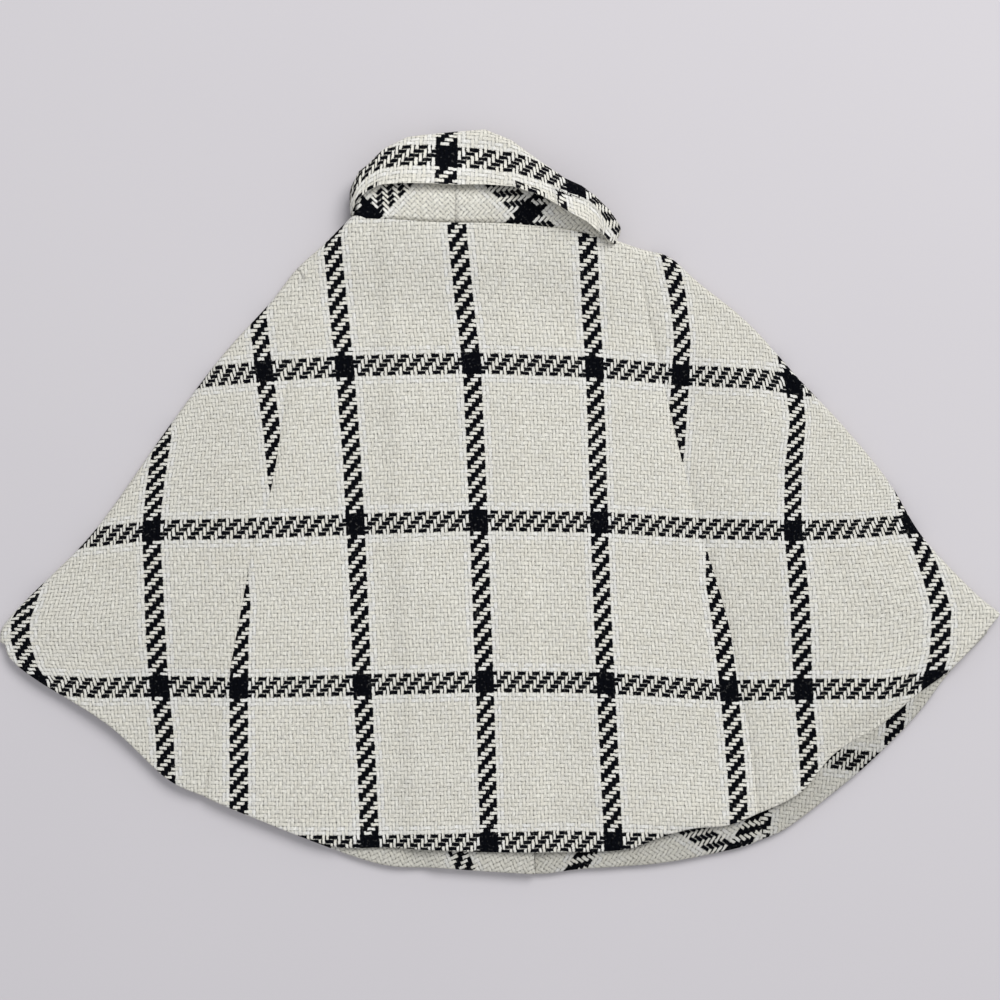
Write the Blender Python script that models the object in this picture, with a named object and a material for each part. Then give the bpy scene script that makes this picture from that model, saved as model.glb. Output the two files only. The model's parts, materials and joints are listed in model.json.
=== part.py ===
"""A child's cape coat of thick checked wool, laid face down with its back up.

The coat is a ring of cloth pressed flat: the back lies over the fronts, and the side
pieces turn over at the left and right edges. The collar is a second ring above the neck
seam, with its fall rolled back over its stand. Sizes are in millimetres: +X runs to the
right as the back is seen, +Y from the hem to the collar, and +Z up from the surface.
"""

import bmesh
import bpy
import numpy as np

MM = 0.001

# The cloth and how it lies
CLOTH = 2.2
SEAM_GAP = 0.3
HALF_GAP = SEAM_GAP / 2
LAYER = CLOTH + SEAM_GAP
SIDE_HEIGHT = 7.2
SIDE_BULGE = 3.6
NECK_BULGE = 5.0
NECK_RISE = 8.7
NECK_SLOPE = 60.0
NECK_BLEND = 0.08
CROWN = 1.5
CROWN_EDGE = 30.0
SEAM_VALLEY = 0.8
SEAM_VALLEY_WIDTH = 5.0
LAP_STEP = 12.0
LAP_CLEAR = 1.0
LAP_SHOULDER = 14.0
HEM_ROWS = 3

# Rows down the coat and columns across it
ROWS = 30
LEFT_SHOULDER_ROWS = 4
RIGHT_SHOULDER_ROWS = 2
LEFT_SHOULDER = 0.137
RIGHT_SHOULDER = 0.078
TURN_STEPS = 6
SIDE_BACK_COLUMNS = 10
SIDE_FRONT_COLUMNS = 8
NECK_END = 0.03
NECK_MIDDLE = 0.391
LEFT_NECK_COLUMNS = 6
RIGHT_NECK_COLUMNS = 8
FRONT_COLUMNS = 4
FRONT_TURNING_COLUMN = 2

# Collar: the layers of a ring whose middle plane is this high, stand inside and fall outside
RING_HEIGHT = 10.9
ROLL_MIDDLE = 5.6
UNDER_COLLAR = {"outer": 2.8, "inner": 0.6}
UPPER_COLLAR = {"outer": 5.3, "inner": 3.1}
STAND_STEPS = 5
ROLL_STEPS = 6
FALL_STEPS = 4
FRONT_STAND = 24.0
FRONT_FALL = 15.0
FRONT_RISE = 0.6
SEAM_DROP = 5.9
SEAM_DROP_LENGTH = 10.0
COLLAR_RISE_LENGTH = 15.0
DROOP_START = 12.0
DROOP_LENGTH = 35.0
LIFT_BEND = 1.5

WOOL = (0.73, 0.71, 0.63)
WOOL_SHADE = (0.55, 0.54, 0.50)
WOOL_ROUGHNESS = 0.95

# The middle of the coat's footprint, brought over the origin
FOOTPRINT_MIDDLE = (0.0, 0.8)

# Lines seen from above, as x and y
NECK = [
    (-86.8, 175.2), (-70.1, 174.5), (-44.6, 172.7), (-27.5, 172.1),
    (2.5, 171.7), (34.1, 169.3), (52.7, 165.8), (63.9, 162.8),
]
FRONT_NECK = [
    (-86.8, 175.2), (-74.0, 158.0), (-53.5, 146.0), (-25.0, 141.5),
    (3.5, 144.0), (34.0, 149.5), (54.0, 155.5), (63.9, 162.8),
]
LEFT_EDGE = [
    (-91.5, 176.9), (-108.5, 160.3), (-125.9, 144.8), (-142.6, 123.7),
    (-172.4, 90.8), (-205.8, 46.2), (-238.7, -0.9), (-259.2, -26.4),
    (-289.5, -56.1), (-306.9, -75.3), (-309.4, -85.9),
]
RIGHT_EDGE = [
    (68.5, 164.7), (86.8, 157.2), (104.8, 152.2), (122.8, 136.7),
    (153.8, 111.3), (185.4, 76.6), (213.9, 46.2), (240.6, 13.3),
    (261.0, -20.1), (291.4, -53.0), (309.4, -67.9),
]
LEFT_SEAM = [
    (-121.0, 137.5), (-125.6, 117.5), (-132.7, 62.3), (-141.4, 8.4),
    (-151.3, -22.6), (-158.7, -59.8), (-168.6, -112.5), (-177.9, -153.4),
    (-182.9, -180.7),
]
RIGHT_SEAM = [
    (85.0, 149.0), (90.9, 119.3), (99.8, 79.7), (109.1, 39.4),
    (122.1, -10.2), (140.1, -70.4), (148.8, -115.6), (156.2, -159.0),
    (159.3, -191.3),
]
BACK_HEM = [
    (-309.4, -85.9), (-305.0, -95.8), (-287.1, -109.4), (-243.7, -136.1),
    (-207.1, -168.9), (-182.9, -180.7), (-156.9, -191.9), (-105.4, -211.1),
    (-69.4, -212.3), (-4.3, -214.8), (71.3, -214.2), (96.7, -206.8),
    (117.8, -200.6), (139.5, -198.7), (159.3, -191.3), (186.0, -177.6),
    (207.7, -153.4), (235.6, -136.1), (259.8, -115.6), (277.8, -102.0),
    (294.5, -85.2), (309.4, -67.9),
]
BACK_HEM_LEFT_SEAM = 5
BACK_HEM_RIGHT_SEAM = 14
FRONT_HEM = [
    (-309.4, -85.9), (-305.0, -95.8), (-287.1, -109.4), (-243.7, -136.1),
    (-207.1, -168.9), (-182.9, -180.7), (-156.9, -191.9), (-111.6, -210.5),
    (-71.3, -223.5), (-35.3, -225.2), (21.7, -228.9), (49.6, -226.0),
    (99.2, -222.3), (144.5, -213.6), (162.4, -207.4), (179.2, -199.3),
    (210.2, -175.2), (230.6, -157.8), (259.2, -128.7), (279.6, -102.0),
    (301.9, -79.0), (309.4, -67.9),
]
FRONT_HEM_LEFT_SEAM = 5
FRONT_HEM_RIGHT_SEAM = 14

# The fronts' edges and their middle, as x at the neck seam and x at the hem
RIGHT_LAP_X = (-53.5, -35.3)
MIDDLE_X = (-25.0, -6.8)
LEFT_LAP_X = (3.5, 21.7)

# The soft ridges of the back: middle x and y, length, width, bearing in degrees and height
RIDGES = [
    (-70.0, 40.0, 260.0, 34.0, 94.0, 1.6),
    (30.0, 60.0, 240.0, 38.0, 88.0, 1.9),
    (62.0, -120.0, 200.0, 30.0, 84.0, 1.5),
    (-30.0, -110.0, 220.0, 42.0, 92.0, 1.2),
    (-185.0, -60.0, 210.0, 44.0, 62.0, 2.2),
    (-170.0, 50.0, 160.0, 30.0, 60.0, 1.5),
    (175.0, -40.0, 230.0, 46.0, 118.0, 2.4),
    (150.0, 70.0, 150.0, 30.0, 125.0, 1.6),
    (110.0, -192.0, 60.0, 22.0, 20.0, 2.6),
    (235.0, -118.0, 120.0, 24.0, 40.0, 2.0),
]

# The collar along the back neck seam: share of the seam, x and y of the roll line, depth of
# the fall, lift of the fall's edge, rise of the whole collar and droop towards the roll line
COLLAR = [
    (0.00, -76.0, 205.5, 22.0, 0.0, 0.0, 0.0),
    (0.03, -75.0, 210.0, 19.5, 0.3, 0.2, 0.5),
    (0.08, -68.0, 216.0, 20.5, 0.5, 0.5, 2.0),
    (0.16, -57.0, 220.4, 22.5, 1.0, 1.5, 5.0),
    (0.28, -42.8, 222.3, 24.0, 1.0, 2.0, 8.0),
    (0.39, -27.3, 224.1, 26.5, 1.0, 2.5, 9.5),
    (0.51, -9.3, 226.0, 28.0, 1.5, 3.0, 9.5),
    (0.63, 7.4, 220.4, 25.0, 3.0, 4.0, 8.0),
    (0.76, 21.7, 211.1, 23.0, 5.0, 4.0, 5.0),
    (0.87, 36.5, 203.5, 26.0, 5.0, 3.0, 2.5),
    (0.93, 45.0, 199.0, 28.0, 4.0, 1.5, 1.0),
    (0.97, 51.5, 192.5, 27.5, 3.0, 0.5, 0.3),
    (1.00, 54.5, 184.5, 25.5, 2.0, 0.0, 0.0),
]


class Curve:
    """A smooth curve through a table's points, read by the share of its length."""

    STEPS = 12

    def __init__(self, points):
        knots = np.array(points, float)
        padded = np.vstack([2 * knots[0] - knots[1], knots, 2 * knots[-1] - knots[-2]])
        fine = []
        for first in range(len(knots) - 1):
            before, here, there, after = padded[first:first + 4]
            for t in np.linspace(0, 1, self.STEPS, endpoint=False):
                bend = 2 * before - 5 * here + 4 * there - after
                twist = 3 * here - before - 3 * there + after
                fine.append(here + 0.5 * ((there - before) * t + bend * t**2 + twist * t**3))
        fine.append(knots[-1])
        self.points = np.array(fine)
        steps = np.linalg.norm(np.diff(self.points, axis=0), axis=1)
        run = np.concatenate([[0.0], np.cumsum(steps)])
        self.shares = run / run[-1]
        self.knots = self.shares[::self.STEPS]

    def __call__(self, shares):
        columns = [np.interp(shares, self.shares, self.points[:, k]) for k in (0, 1)]
        return np.stack(columns, axis=-1)


def smoothstep(value):
    value = np.clip(value, 0.0, 1.0)
    return value * value * (3 - 2 * value)


def unit(vectors):
    return vectors / np.linalg.norm(vectors, axis=-1, keepdims=True)


def across_line(points, away_from):
    """The flat directions square to a line, on the side that is away from a point."""
    along = unit(np.gradient(points, axis=0))
    square = np.stack([-along[:, 1], along[:, 0]], axis=1)
    side = np.sign(np.sum(square * (points - np.array(away_from)), axis=1))
    return square * side[:, None]


def distance_to(points, line):
    """How far each point lies from a line of points, seen from above."""
    flat = points.reshape(-1, 2)
    gaps = np.linalg.norm(flat[:, None, :] - line[None, :, :], axis=2)
    return gaps.min(axis=1).reshape(points.shape[:-1])


def patch(top, bottom, left, right, across, down):
    """A sheet spread between four lines that meet at its corners."""
    u = across[None, :, None]
    v = down[:, None, None]
    sides = (1 - v) * top[None] + v * bottom[None] + (1 - u) * left[:, None] + u * right[:, None]
    upper = (1 - u) * top[0] + u * top[-1]
    lower = (1 - u) * bottom[0] + u * bottom[-1]
    return sides - (1 - v) * upper - v * lower


def fitted(points, start, end):
    """A line shifted so that it starts and ends at the given points."""
    share = np.linspace(0, 1, len(points))[:, None]
    return points + (1 - share) * (start - points[0]) + share * (end - points[-1])


neck = Curve(NECK)
front_neck = Curve(FRONT_NECK)
left_edge = Curve(LEFT_EDGE)
right_edge = Curve(RIGHT_EDGE)
left_seam = Curve(LEFT_SEAM)
right_seam = Curve(RIGHT_SEAM)
right_front_seam = Curve(RIGHT_SEAM[:-1] + [FRONT_HEM[FRONT_HEM_RIGHT_SEAM]])
back_hem = Curve(BACK_HEM)
front_hem = Curve(FRONT_HEM)

INSIDE = (0.0, -60.0)
COLLAR_TABLE = np.array(COLLAR)


def turn_direction(row, away):
    """The way the collar's ring bulges at one of its ends, square to its turn."""
    seam_point = neck(COLLAR_TABLE[row, 0])
    along = unit(COLLAR_TABLE[row, 1:3] - seam_point)
    square = np.array([-along[1], along[0]])
    return square * np.sign(square[0] * away)


LEFT_TURN = turn_direction(0, -1.0)
RIGHT_TURN = turn_direction(-1, 1.0)


def neck_rise(points):
    return NECK_RISE * (1 - smoothstep(distance_to(points, neck.points) / NECK_SLOPE))


def side_line(edge, turn, shares):
    """Where the back starts to turn over, with the way it turns and its bulge."""
    outer = edge(shares)
    towards = across_line(outer, INSIDE)
    share_from_neck = smoothstep(shares / NECK_BLEND)[:, None]
    towards = unit(share_from_neck * towards + (1 - share_from_neck) * turn)
    rise = neck_rise(outer) / NECK_RISE
    bulge = SIDE_BULGE + (NECK_BULGE - SIDE_BULGE) * rise
    return outer - towards * bulge[:, None], towards, bulge


def shares_down(shoulder, shoulder_rows):
    above = np.linspace(0, shoulder, shoulder_rows + 1)
    below = np.linspace(shoulder, 1, ROWS - shoulder_rows + 1)
    return np.concatenate([above, below[1:]])


LEFT_SHARES = shares_down(LEFT_SHOULDER, LEFT_SHOULDER_ROWS)
RIGHT_SHARES = shares_down(RIGHT_SHOULDER, RIGHT_SHOULDER_ROWS)
LEFT_SIDE, LEFT_OUT, LEFT_BULGE = side_line(left_edge, LEFT_TURN, LEFT_SHARES)
RIGHT_SIDE, RIGHT_OUT, RIGHT_BULGE = side_line(right_edge, RIGHT_TURN, RIGHT_SHARES)
SIDE_LINES = np.vstack([LEFT_SIDE, RIGHT_SIDE])
SEAM_LINES = np.vstack([left_seam.points, right_seam.points])


def share_at(curve, x):
    return np.interp(x, curve.points[:, 0], curve.shares)


def front_line(ends, shift=0.0):
    """A straight line down a front, from its neck seam to its hem, given by x at each."""
    shares = share_at(front_neck, ends[0] + shift), share_at(front_hem, ends[1] + shift)
    return np.linspace(front_neck(shares[0]), front_hem(shares[1]), ROWS + 1)


RIGHT_LAP = front_line(RIGHT_LAP_X)
LEFT_LAP = front_line(LEFT_LAP_X)
LAP_STARTS = -LAP_CLEAR - LAP_STEP


def past_lap(points, lap):
    """How far to the right of a front's edge each point lies."""
    top, bottom = lap[0], lap[-1]
    share = (top[1] - points[..., 1]) / (top[1] - bottom[1])
    return points[..., 0] - (top[0] + share * (bottom[0] - top[0]))


def lap_lift(points):
    """How far the left front rises to lie on the right front's edge."""
    return LAYER * smoothstep((past_lap(points, RIGHT_LAP) - LAP_STARTS) / LAP_STEP)


def lap_ridge(points):
    """How far the back rises over the lapped fronts."""
    start = LAP_STARTS - LAP_SHOULDER
    rising = smoothstep((past_lap(points, RIGHT_LAP) - start) / LAP_SHOULDER)
    falling = 1 - smoothstep(past_lap(points, LEFT_LAP) / LAP_SHOULDER)
    return (LAYER + HALF_GAP) * rising * falling


def ridges(points):
    height = np.zeros(points.shape[:-1])
    for x, y, length, width, bearing, top in RIDGES:
        angle = np.radians(bearing)
        along = (points[..., 0] - x) * np.cos(angle) + (points[..., 1] - y) * np.sin(angle)
        across = (points[..., 1] - y) * np.cos(angle) - (points[..., 0] - x) * np.sin(angle)
        fade = np.cos(np.pi * np.clip(along / length, -0.5, 0.5)) ** 2
        height += top * fade * np.exp(-(across / width * 2) ** 2)
    return height


def back_height(points):
    """The height of the back's outer face above the surface the coat lies on."""
    away = smoothstep(distance_to(points, SIDE_LINES) / CROWN_EDGE)
    valley = SEAM_VALLEY * np.exp(-(distance_to(points, SEAM_LINES) / SEAM_VALLEY_WIDTH) ** 2)
    full = CROWN + lap_ridge(points) + ridges(points) - valley
    return SIDE_HEIGHT + neck_rise(points) + away * full


def raised(plan, height):
    return np.concatenate([plan, np.broadcast_to(height, plan.shape[:-1])[..., None]], axis=-1)


def back_walls(plan):
    top = back_height(plan)
    return raised(plan, top), raised(plan, top - CLOTH)


def turned(points, towards, bulge, angles):
    """The two faces of cloth that turns over from the back to the underside."""
    half = back_height(points)[:, None] / 2
    across = np.cos(angles)[None, :, None] * towards[:, None, :]
    rise = np.sin(angles)[None, :]
    faces = []
    for inset in (0.0, CLOTH):
        plan = points[:, None, :] + across * (bulge - inset)[:, None, None]
        faces.append(raised(plan, half + rise * (half - inset)))
    return faces


TURN_DOWN = np.linspace(np.pi / 2, -np.pi / 2, TURN_STEPS + 1)


def seam_rows(seam, neck_point, shoulder_rows, side):
    """A panel's edge at a side seam, with the stretch above it up to the neck.

    It is moved half a seam gap towards the middle (side 1) or the edge (side -1)."""
    line = seam(np.linspace(0, 1, ROWS - shoulder_rows + 1))
    away = across_line(line, INSIDE)
    above = np.linspace(neck_point, line[0], shoulder_rows + 1)
    whole = np.vstack([above[:-1], line])
    shift = np.vstack([np.repeat(away[:1], shoulder_rows, axis=0), away])
    return whole - side * HALF_GAP * shift


def neck_shares(first, middle, last, before, after):
    left = np.linspace(first, middle, before + 1)
    right = np.linspace(middle, last, after + 1)
    return np.concatenate([left, right[1:]])


BACK_NECK_SHARES = neck_shares(
    NECK_END, NECK_MIDDLE, 1 - NECK_END, LEFT_NECK_COLUMNS, RIGHT_NECK_COLUMNS
)
FRONT_MIDDLE_SHARE = share_at(front_neck, MIDDLE_X[0])
LEFT_FRONT_SHARES = np.linspace(
    NECK_END, share_at(front_neck, RIGHT_LAP_X[0] + LAP_STARTS), FRONT_COLUMNS + 1
)
LEFT_LAP_SHARE = share_at(front_neck, LEFT_LAP_X[0] + SEAM_GAP)
RIGHT_FRONT_SHARES = np.linspace(LEFT_LAP_SHARE, 1 - NECK_END, FRONT_COLUMNS + 1)


def hem_between(hem, first_share, last_share, across):
    return hem(first_share + across * (last_share - first_share))


def panel(neck_line, shares, hem, hem_shares, left, right):
    """The plan of a panel between two edges, from its neck seam to its hem."""
    across = (shares - shares[0]) / (shares[-1] - shares[0])
    top = fitted(neck_line(shares), left[0], right[0])
    bottom = fitted(hem_between(hem, *hem_shares, across), left[-1], right[-1])
    return patch(top, bottom, left, right, across, np.linspace(0, 1, ROWS + 1))


def off_neck(plan):
    """A plan with its first row drawn down from the neck seam by half a gap."""
    moved = plan.copy()
    moved[0] += HALF_GAP * unit(plan[1] - plan[0])
    return moved


def with_shoulder(plan, side, rows, at_left):
    """A panel with one more column, out to the side line, for the rows of its shoulder."""
    column = np.full((ROWS + 1, 1, 2), np.nan)
    column[:rows + 1, 0] = side[:rows + 1]
    column[rows + 1:, 0] = plan[rows + 1:, 0 if at_left else -1]
    parts = [column, plan] if at_left else [plan, column]
    keep = np.ones((ROWS, plan.shape[1]), bool)
    keep[rows:, 0 if at_left else -1] = False
    return np.concatenate(parts, axis=1), keep


def wall(name, outer, inner, colour, keep=None):
    """A closed piece of cloth between two faces of the same lattice."""
    if keep is None:
        keep = np.ones((outer.shape[0] - 1, outer.shape[1] - 1), bool)
    mesh = bmesh.new()
    corners = {}

    def corner(face, place):
        if (face, place) not in corners:
            x, y, z = (outer, inner)[face][place]
            x -= FOOTPRINT_MIDDLE[0]
            y -= FOOTPRINT_MIDDLE[1]
            corners[face, place] = mesh.verts.new((x * MM, y * MM, z * MM))
        return corners[face, place]

    rim = set()
    for row, column in np.argwhere(keep).tolist():
        cell = [(row, column), (row, column + 1), (row + 1, column + 1), (row + 1, column)]
        for three in ((0, 1, 2), (0, 2, 3)):
            mesh.faces.new([corner(0, cell[k]) for k in three])
            mesh.faces.new([corner(1, cell[k]) for k in reversed(three)])
        for start, end in zip(cell, cell[1:] + cell[:1]):
            if (end, start) in rim:
                rim.remove((end, start))
            else:
                rim.add((start, end))
    for start, end in sorted(rim):
        mesh.faces.new([corner(0, end), corner(0, start), corner(1, start)])
        mesh.faces.new([corner(0, end), corner(1, start), corner(1, end)])
    bmesh.ops.recalc_face_normals(mesh, faces=mesh.faces)
    data = bpy.data.meshes.new(name)
    mesh.to_mesh(data)
    mesh.free()
    piece = bpy.data.objects.new(name, data)
    bpy.context.collection.objects.link(piece)
    data.materials.append(wool(name, colour))
    return piece


def wool(name, colour):
    material = bpy.data.materials.new(f"{name} wool")
    material.use_nodes = True
    shader = material.node_tree.nodes["Principled BSDF"]
    shader.inputs["Base Color"].default_value = (*colour, 1.0)
    shader.inputs["Roughness"].default_value = WOOL_ROUGHNESS
    return material


def back_centre():
    """The centre back, from side seam to side seam, turned over at the shoulders."""
    left = seam_rows(left_seam, neck(NECK_END), LEFT_SHOULDER_ROWS, 1)
    right = seam_rows(right_seam, neck(1 - NECK_END), RIGHT_SHOULDER_ROWS, 1)
    hem_shares = back_hem.knots[BACK_HEM_LEFT_SEAM], back_hem.knots[BACK_HEM_RIGHT_SEAM]
    plan = off_neck(panel(neck, BACK_NECK_SHARES, back_hem, hem_shares, left, right))
    middle = np.stack(back_walls(plan))
    shoulders = []
    for line, out, bulge, rows in (
        (LEFT_SIDE, LEFT_OUT, LEFT_BULGE, LEFT_SHOULDER_ROWS),
        (RIGHT_SIDE, RIGHT_OUT, RIGHT_BULGE, RIGHT_SHOULDER_ROWS),
    ):
        faces = np.stack(turned(off_neck(line), out, bulge, TURN_DOWN))
        faces[:, rows + 1:] = faces[:, rows:rows + 1]
        shoulders.append(faces)
    lattice = np.concatenate([shoulders[0][:, :, ::-1], middle, shoulders[1]], axis=2)
    keep = np.ones((ROWS, lattice.shape[2] - 1), bool)
    keep[LEFT_SHOULDER_ROWS:, :TURN_STEPS + 1] = False
    keep[RIGHT_SHOULDER_ROWS:, -TURN_STEPS - 1:] = False
    return wall("back_centre", lattice[0], lattice[1], WOOL, keep)


def side_plan(seam, line, hem, hem_shares, shoulder_rows, columns):
    """The plan of a side piece on one face of the coat, from its seam to the side line."""
    inner = seam_rows(seam, seam(0.0), shoulder_rows, -1)[shoulder_rows:]
    outer = line[shoulder_rows:].copy()
    across = np.linspace(0, 1, columns + 1)
    down = np.linspace(0, 1, len(outer))
    for edge in (inner, outer):
        edge[0] += SEAM_GAP * unit(edge[1] - edge[0])
    top = np.linspace(inner[0], outer[0], columns + 1)
    bottom = fitted(hem_between(hem, *hem_shares, across), inner[-1], outer[-1])
    return patch(top, bottom, inner, outer, across, down)


def side_piece(name, seam, front_seam, line, out, bulge, rows, hem_shares, front_shares):
    """A side piece: on the back from its seam, over the side, and back along the underside."""
    back = side_plan(seam, line, back_hem, hem_shares, rows, SIDE_BACK_COLUMNS)
    front = side_plan(front_seam, line, front_hem, front_shares, rows, SIDE_FRONT_COLUMNS)
    top = np.stack(back_walls(back))
    turn = np.stack(turned(back[:, -1], out[rows:], bulge[rows:], TURN_DOWN))
    under = np.stack([raised(front, 0.0), raised(front, CLOTH)])[:, :, ::-1]
    lattice = np.concatenate([top[:, :, :-1], turn[:, :, :-1], under], axis=2)
    wall(name, lattice[0], lattice[1], WOOL)
    return front


def front_panel(name, plan, lift, shoulder, rows, at_left):
    """A front on the underside, with its shoulder's column out to the side line."""
    side = shoulder.copy()
    beside = plan[:, 0 if at_left else -1]
    side[:rows + 1] += SEAM_GAP * unit(beside - side)[:rows + 1]
    plan, keep = with_shoulder(plan, side, rows, at_left)
    plan = off_neck(plan)
    height = lift(plan)
    wall(name, raised(plan, height), raised(plan, height + CLOTH), WOOL, keep)
    return plan, height


def hem_turning(name, plan, height, columns):
    """The turned-up hem inside a front, made from the front's own last rows."""
    rows = plan[-HEM_ROWS - 1:, columns]
    rise = height[-HEM_ROWS - 1:, columns] + LAYER
    return wall(name, raised(rows, rise), raised(rows, rise + CLOTH), WOOL_SHADE)


def flat(points):
    return np.zeros(points.shape[:-1])


def left_front():
    """The left front, whose edge lies inside, on the right front."""
    seam = seam_rows(left_seam, front_neck(NECK_END), LEFT_SHOULDER_ROWS, 1)
    step = front_line(RIGHT_LAP_X, LAP_STARTS)
    hem_shares = front_hem.knots[FRONT_HEM_LEFT_SEAM], share_at(front_hem, step[-1, 0])
    plan = panel(front_neck, LEFT_FRONT_SHARES, front_hem, hem_shares, seam, step)
    lines = [front_line(RIGHT_LAP_X, -LAP_CLEAR), front_line(MIDDLE_X), LEFT_LAP]
    plan = np.concatenate([plan, np.stack(lines, axis=1)], axis=1)
    plan, height = front_panel(
        "front_left", plan, lap_lift, LEFT_SIDE, LEFT_SHOULDER_ROWS, True
    )
    hem_turning("hem_turning_left", plan, height, slice(1, None))


def right_front():
    """The right front, flat on the surface, whose edge lies outside."""
    seam = seam_rows(right_front_seam, front_neck(1 - NECK_END), RIGHT_SHOULDER_ROWS, 1)
    beside = front_line(LEFT_LAP_X, SEAM_GAP)
    hem_shares = share_at(front_hem, beside[-1, 0]), front_hem.knots[FRONT_HEM_RIGHT_SEAM]
    plan = panel(front_neck, RIGHT_FRONT_SHARES, front_hem, hem_shares, beside, seam)
    lines = [RIGHT_LAP, front_line(MIDDLE_X)]
    plan = np.concatenate([np.stack(lines, axis=1), plan], axis=1)
    plan, height = front_panel("front_right", plan, flat, RIGHT_SIDE, RIGHT_SHOULDER_ROWS, False)
    hem_turning("hem_turning_right", plan, height, slice(FRONT_TURNING_COLUMN, -1))


def sides():
    side_piece(
        "side_left", left_seam, left_seam, LEFT_SIDE, LEFT_OUT, LEFT_BULGE, LEFT_SHOULDER_ROWS,
        (back_hem.knots[BACK_HEM_LEFT_SEAM], 0.0), (front_hem.knots[FRONT_HEM_LEFT_SEAM], 0.0),
    )
    front = side_piece(
        "side_right", right_seam, right_front_seam, RIGHT_SIDE, RIGHT_OUT, RIGHT_BULGE,
        RIGHT_SHOULDER_ROWS,
        (back_hem.knots[BACK_HEM_RIGHT_SEAM], 1.0), (front_hem.knots[FRONT_HEM_RIGHT_SEAM], 1.0),
    )
    hem_turning("hem_turning_side", front, flat(front), slice(0, -2))


def collar_stations():
    """Each station round the collar: seam point, way up the stand, length of the stand,
    depth of the fall, lift, rise, droop, way it bulges and angle of the turn (90 on top)."""
    table = COLLAR_TABLE
    lap_share = share_at(front_neck, RIGHT_LAP_X[0] - LAP_CLEAR)
    left_shares = np.concatenate([[0.0], LEFT_FRONT_SHARES, [lap_share, FRONT_MIDDLE_SHARE]])
    right_shares = np.concatenate([[FRONT_MIDDLE_SHARE], RIGHT_FRONT_SHARES, [1.0]])
    upright = np.array([0.0, 1.0])

    def end_stations(row, bulge, shares):
        """One end of the ring: its turn from the top down, then its front, to the middle."""
        seam_point = neck(table[row, 0])
        reach = table[row, 1:3] - seam_point
        stand = np.linalg.norm(reach)
        way = reach / stand
        fall, lift = table[row, 3:5]
        stations = []
        for angle in TURN_DOWN:
            top = (1 + np.sin(angle)) / 2
            length = FRONT_STAND + (stand - FRONT_STAND) * top
            depth = FRONT_FALL + (fall - FRONT_FALL) * top
            stations.append((seam_point, way, length, depth, lift * top, 0.0, 0.0, bulge, angle))
        for share in shares:
            middle = (share - table[row, 0]) / (FRONT_MIDDLE_SHARE - table[row, 0])
            lean = unit((1 - middle) * way + middle * upright)
            rise = FRONT_RISE * np.sin(np.pi * middle)
            sizes = FRONT_STAND, FRONT_FALL, 0.0, rise, 0.0
            stations.append((front_neck(share), lean, *sizes, bulge, TURN_DOWN[-1]))
        return stations

    left = end_stations(0, LEFT_TURN, left_shares[1:])[::-1]
    right = end_stations(-1, RIGHT_TURN, right_shares[-2::-1])
    back = []
    for share in BACK_NECK_SHARES:
        values = [np.interp(share, table[:, 0], table[:, column]) for column in range(1, 7)]
        reach = np.array(values[:2]) - neck(share)
        stand = np.linalg.norm(reach)
        back.append((neck(share), reach / stand, stand, *values[2:], LEFT_TURN, TURN_DOWN[0]))
    return left + back + right


def collar_face(stations, radius):
    """One face of a collar piece: up the stand, round the roll and down the fall."""
    rows = []
    for seam_point, way, length, fall, lift, rise, droop, bulge, angle in stations:
        stand = np.linspace(HALF_GAP, length, STAND_STEPS + 1)
        roll = np.linspace(-np.pi / 2, np.pi / 2, ROLL_STEPS + 1)[1:-1]
        back = np.linspace(length, length - fall, FALL_STEPS + 1)
        up = np.concatenate([stand, length + radius * np.cos(roll), back])
        offset = np.concatenate([
            np.full(len(stand), ROLL_MIDDLE - radius),
            ROLL_MIDDLE + radius * np.sin(roll),
            np.full(len(back), ROLL_MIDDLE + radius),
        ])
        lifting = np.concatenate([
            np.zeros(len(up) - len(back)),
            np.linspace(0, 1, len(back)) ** LIFT_BEND,
        ])
        under = (1 - np.sin(angle)) / 2
        drop = SEAM_DROP * (1 - smoothstep(up / SEAM_DROP_LENGTH)) * (offset < ROLL_MIDDLE)
        plan = seam_point + way * up[:, None] + bulge * (np.cos(angle) * offset)[:, None]
        height = RING_HEIGHT + np.sin(angle) * offset - drop * under
        height += lift * lifting * (1 - under) + rise * smoothstep(up / COLLAR_RISE_LENGTH)
        height -= droop * smoothstep((up - DROOP_START) / DROOP_LENGTH)
        rows.append(raised(plan, height))
    return np.stack(rows)


def collar():
    stations = collar_stations()
    middle = len(LEFT_FRONT_SHARES) + 2 + TURN_STEPS + 1 + LEFT_NECK_COLUMNS
    faces = [collar_face(stations, UPPER_COLLAR[side]) for side in ("outer", "inner")]
    for face in faces:
        shorten(face)
    wall("upper_collar", faces[0], faces[1], WOOL)
    for name, part in (
        ("under_collar_left", slice(0, middle + 1)),
        ("under_collar_right", slice(middle, None)),
    ):
        faces = [collar_face(stations, UNDER_COLLAR[side])[part] for side in ("outer", "inner")]
        for face in faces:
            shorten(face)
        wall(name, faces[0], faces[1], WOOL)


def shorten(face):
    """Draws the first and last rows of a face in by half a seam gap."""
    face[0] += HALF_GAP * unit(face[1] - face[0])
    face[-1] += HALF_GAP * unit(face[-2] - face[-1])


for thing in list(bpy.data.objects):
    bpy.data.objects.remove(thing)
back_centre()
left_front()
right_front()
sides()
collar()
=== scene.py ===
# %% [markdown]
# # A cape coat, laid face down
# The imported part is the frame of this scene. It holds every piece of the coat as a plain
# solid, in metres. This lesson gives each piece its fine form, its weave and its creases, and
# leaves the solids for collision. The frame is loaded first.

# %% Load the imported coat
import json

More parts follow.
